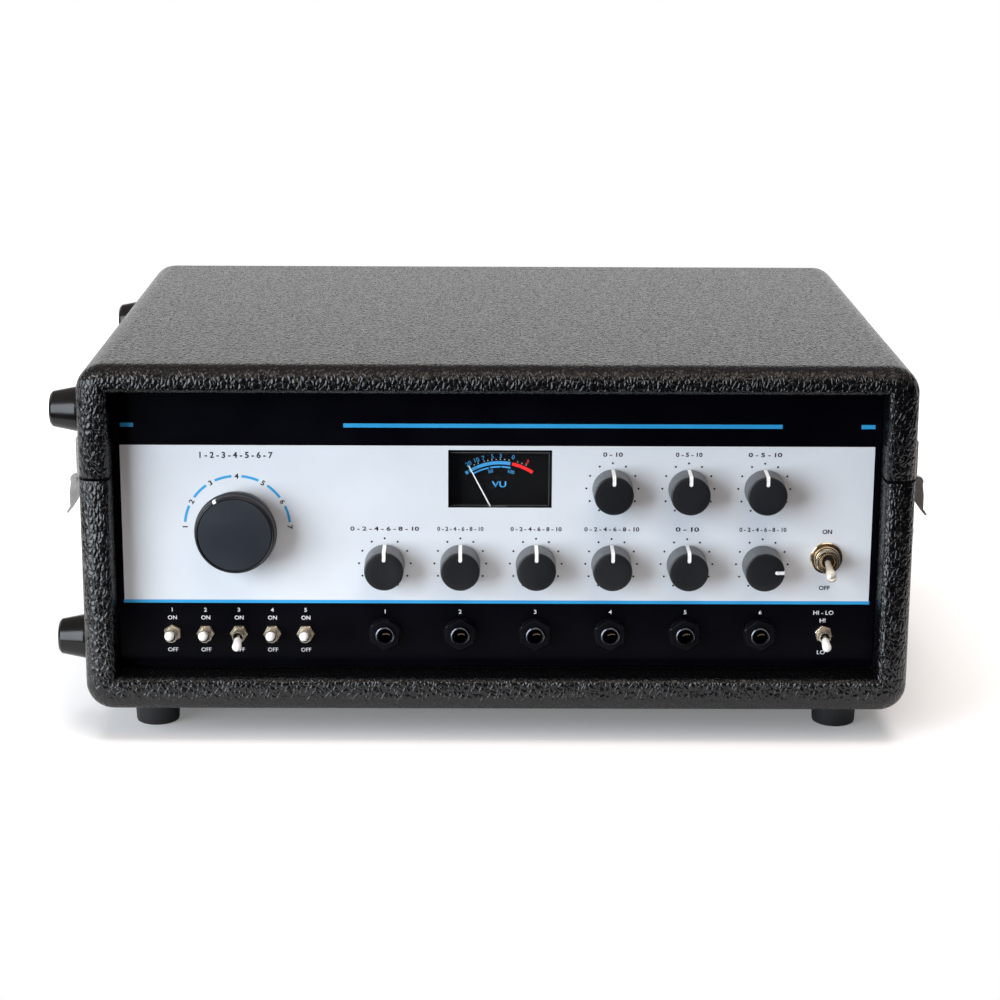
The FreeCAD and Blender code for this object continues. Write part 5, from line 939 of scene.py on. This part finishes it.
iron = brushed("transformer_iron", (0.05, 0.05, 1), (0.17, 0.17, 0.18), (0.08, 0.08, 0.085), 0.35, 0.55, 0.04)
winding_amber = grained("winding_amber", (0.55, 0.33, 0.09), (0.42, 0.24, 0.06), 0.25, 0.4, 380, 0.08)
spring_steel = brushed("spring_steel", (1, 1, 1), (0.7, 0.7, 0.7), (0.5, 0.5, 0.5), 0.15, 0.3)
board_green = grained("board_green", (0.03, 0.16, 0.06), (0.02, 0.1, 0.04), 0.3, 0.45, 500, 0.04)
chip_black = grained("chip_black", (0.02, 0.02, 0.021), (0.012, 0.012, 0.013), 0.4, 0.55, 1500, 0.02)
can_blue = grained("can_blue", (0.02, 0.05, 0.16), (0.015, 0.035, 0.11), 0.25, 0.4, 900, 0.01)
resistor_tan = grained("resistor_tan", (0.55, 0.38, 0.2), (0.42, 0.28, 0.14), 0.35, 0.5, 2000, 0.01)
_, iron_ys, (iron_foot, _) = span("power_transformer")
iron_y, half_stack, bracket = sum(iron_ys) / 2, 14.05, 4
painted(
    "power_transformer", "wound_transformer", "case", "transformer_iron", [iron, winding_amber],
    lambda at, normal: abs(at.y - iron_y) > half_stack and at.z > iron_foot + bracket,
)
dress(
    grained("galvanised", (0.6, 0.61, 0.62), (0.4, 0.41, 0.42), 0.3, 0.5, 90.0, 0.01, metallic=1.0),
    "reverb_tank",
)
tank_low, tank_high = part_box("reverb_tank")
springs = bpy.data.curves.new("reverb_springs", "CURVE")
springs.dimensions, springs.bevel_depth, springs.bevel_resolution = "3D", 0.00028, 0
coil_turns, coil_steps, coil_radius, hook = 110, 8, 0.0025, 0.024
coil_length = tank_high.x - tank_low.x - 2 * hook
for share in (0.3, 0.5, 0.7):
    middle_y = tank_low.y + (tank_high.y - tank_low.y) * share
    middle_z = (tank_low.z + tank_high.z) / 2
    coil = springs.splines.new("POLY")
    coil.points.add(coil_turns * coil_steps)
    for step, point in enumerate(coil.points):
        angle = 2 * math.pi * step / coil_steps
        x = tank_low.x + hook + coil_length * step / (coil_turns * coil_steps)
        point.co = (x, middle_y + coil_radius * math.cos(angle), middle_z + coil_radius * math.sin(angle), 1)
springs.materials.append(spring_steel)
spring_set = new_object("reverb_springs", springs)
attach(spring_set, "case")
board_xs, board_ys, _ = span("main_board")
board_long, board_deep = board_xs[1] - board_xs[0], board_ys[1] - board_ys[0]
board_top, can_x = 46.1, board_xs[0] + board_long * 0.65


def board_finish(at, normal):
    """Green for the board, black for its chips, blue for the tall cans and bare metal for their tops."""
    if at.z < board_top + 0.1:
        return 0
    if at.x < can_x:
        return 1
    return 3 if normal.z > 0.9 else 2


board_finishes = [board_green, chip_black, can_blue, spring_steel]
painted("main_board", "stuffed_board", "case", "board_green", board_finishes, board_finish)
resistor = [(0, -3.2), (0.8, -3.1), (1.1, -2.5), (0.9, -1.7), (0.9, 1.7), (1.1, 2.5), (0.8, 3.1), (0, 3.2)]
resistor_places = []
for across, back in [(x, y) for x in (0.235, 0.405, 0.575) for y in (0.13, 0.37, 0.61, 0.85)]:
    x, y = board_xs[0] + board_long * across, board_ys[0] + board_deep * back
    resistor_places += [facing(x + side, y, board_top + 1.1, (0, 1, 0)) for side in (-3, 3)]
fitted("board_resistors", turned(resistor, 12), resistor_places, resistor_tan, "board_green")

# ---- back of the case ----
# A black steel plate with vent slots closes the back and holds the mains inlet. Two nickelled
# butt hinges join the lid to the case.

inlet_black = grained("inlet_black", (0.016, 0.016, 0.017), (0.01, 0.01, 0.011), 0.25, 0.4)
hinge_nickel = brushed("hinge_nickel", (0.08, 1, 1), (0.8, 0.79, 0.76), (0.62, 0.61, 0.58), 0.16, 0.32)
dress(grained("rear_black", (0.018, 0.018, 0.019), (0.011, 0.011, 0.012), 0.4, 0.55, 1300, 0.04), "rear_panel")
dress(hinge_nickel, "hinge_leaves_lower", "hinge_leaves_upper")
inlet_xs, inlet_ys, inlet_zs = span("mains_inlet")
inlet_x, inlet_z = sum(inlet_xs) / 2, sum(inlet_zs) / 2


def inlet_finish(at, normal):
    """Nickel for the three pins that stand in the recess, black for the moulding."""
    for x, z in ((-7, -2), (0, 2.5), (7, -2)):
        if abs(at.x - inlet_x - x) < 1.1 and abs(at.z - inlet_z - z) < 2.1 and at.y > inlet_ys[0] + 2:
            return 1
    return 0


painted("mains_inlet", "inlet_moulding", "case", "inlet_black", [inlet_black, hinge_nickel], inlet_finish)
(left, right), _, (bottom, top) = span("rear_panel", 4)
plate_y = span("rear_panel")[1][1]
plate_spots = [(left, bottom), (0, bottom), (right, bottom), (left, inlet_z), (right, inlet_z)]
plate_spots += [(-60, top), (60, top)]
plate_places = [facing(x, plate_y, z, (0, 1, 0), 0.7 * i) for i, (x, z) in enumerate(plate_spots)]
add_screws("rear_plate_screws", 2.9, 1.5, plate_places)
inlet_places = [facing(inlet_x + side * 16.6, inlet_ys[1], inlet_z, (0, 1, 0), 0.3 * side) for side in (-1, 1)]
add_screws("inlet_screws", 1.7, 0.9, inlet_places)
leaf_thick = 1.6
for leaf, body, edge, inward in (("hinge_leaves_lower", "case", 0, 1), ("hinge_leaves_upper", "lid", 1, -1)):
    _, leaf_ys, leaf_zs = span(leaf)
    places = []
    for hinge, x in [(hinge, x) for hinge in (-120, 120) for x in (-21, 0, 21)]:
        z = leaf_zs[edge] + inward * (7 if x else 15)
        places.append(facing(hinge + x, leaf_ys[0] + leaf_thick, z, (0, 1, 0), 0.5 * x))
    add_screws(f"{leaf}_screws", 2.6, 1.0, places, body)

# ---- strap handle ----
# A strap of black moulded rubber over a steel band, on the right wall, with its two ends held in
# moulded caps.

cap_black = grained("cap_black", (0.016, 0.016, 0.017), (0.01, 0.01, 0.011), 0.2, 0.34)
dress(
    leathered("strap_black", (0.02, 0.019, 0.018), (0.008, 0.0075, 0.007), 0.35, 0.5, 420, 0.2),
    "handle_strap",
)
caps = merged("handle_caps")
cap_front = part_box("handle_caps")[1].x
rim = [edge for edge in caps.edges if max(v.co.x for v in edge.verts) > cap_front - 0.0001]
rounded(caps, [edge for edge in rim if edge.calc_face_angle(0) > 1], 0.0012, 3, clamp_overlap=True)
sharpen(caps, 30)
add_piece("moulded_handle_caps", caps, [cap_black], "case", "cap_black", "handle_caps")
_, cap_ys, cap_zs = span("handle_caps", 12)
cap_places = [facing(cap_front * 1000, y, sum(cap_zs) / 2, (1, 0, 0), 0.5) for y in cap_ys]
add_screws("handle_cap_screws", 3.6, 1.8, cap_places)

# ---- draw latches ----
# One latch on each side wall: a pressed steel base and lever with a hooked claw that pulls down
# on the lid's strike plate, all nickel-plated.

latch_zinc = grained("latch_zinc", (0.86, 0.83, 0.78), (0.66, 0.63, 0.58), 0.26, 0.4, 1000, 0.01, 0.75)
dress(latch_zinc, "latch_bases", "latch_strikes")
for side in ("left", "right"):
    dress(latch_zinc, f"latch_lever_{side}", f"latch_claw_{side}")
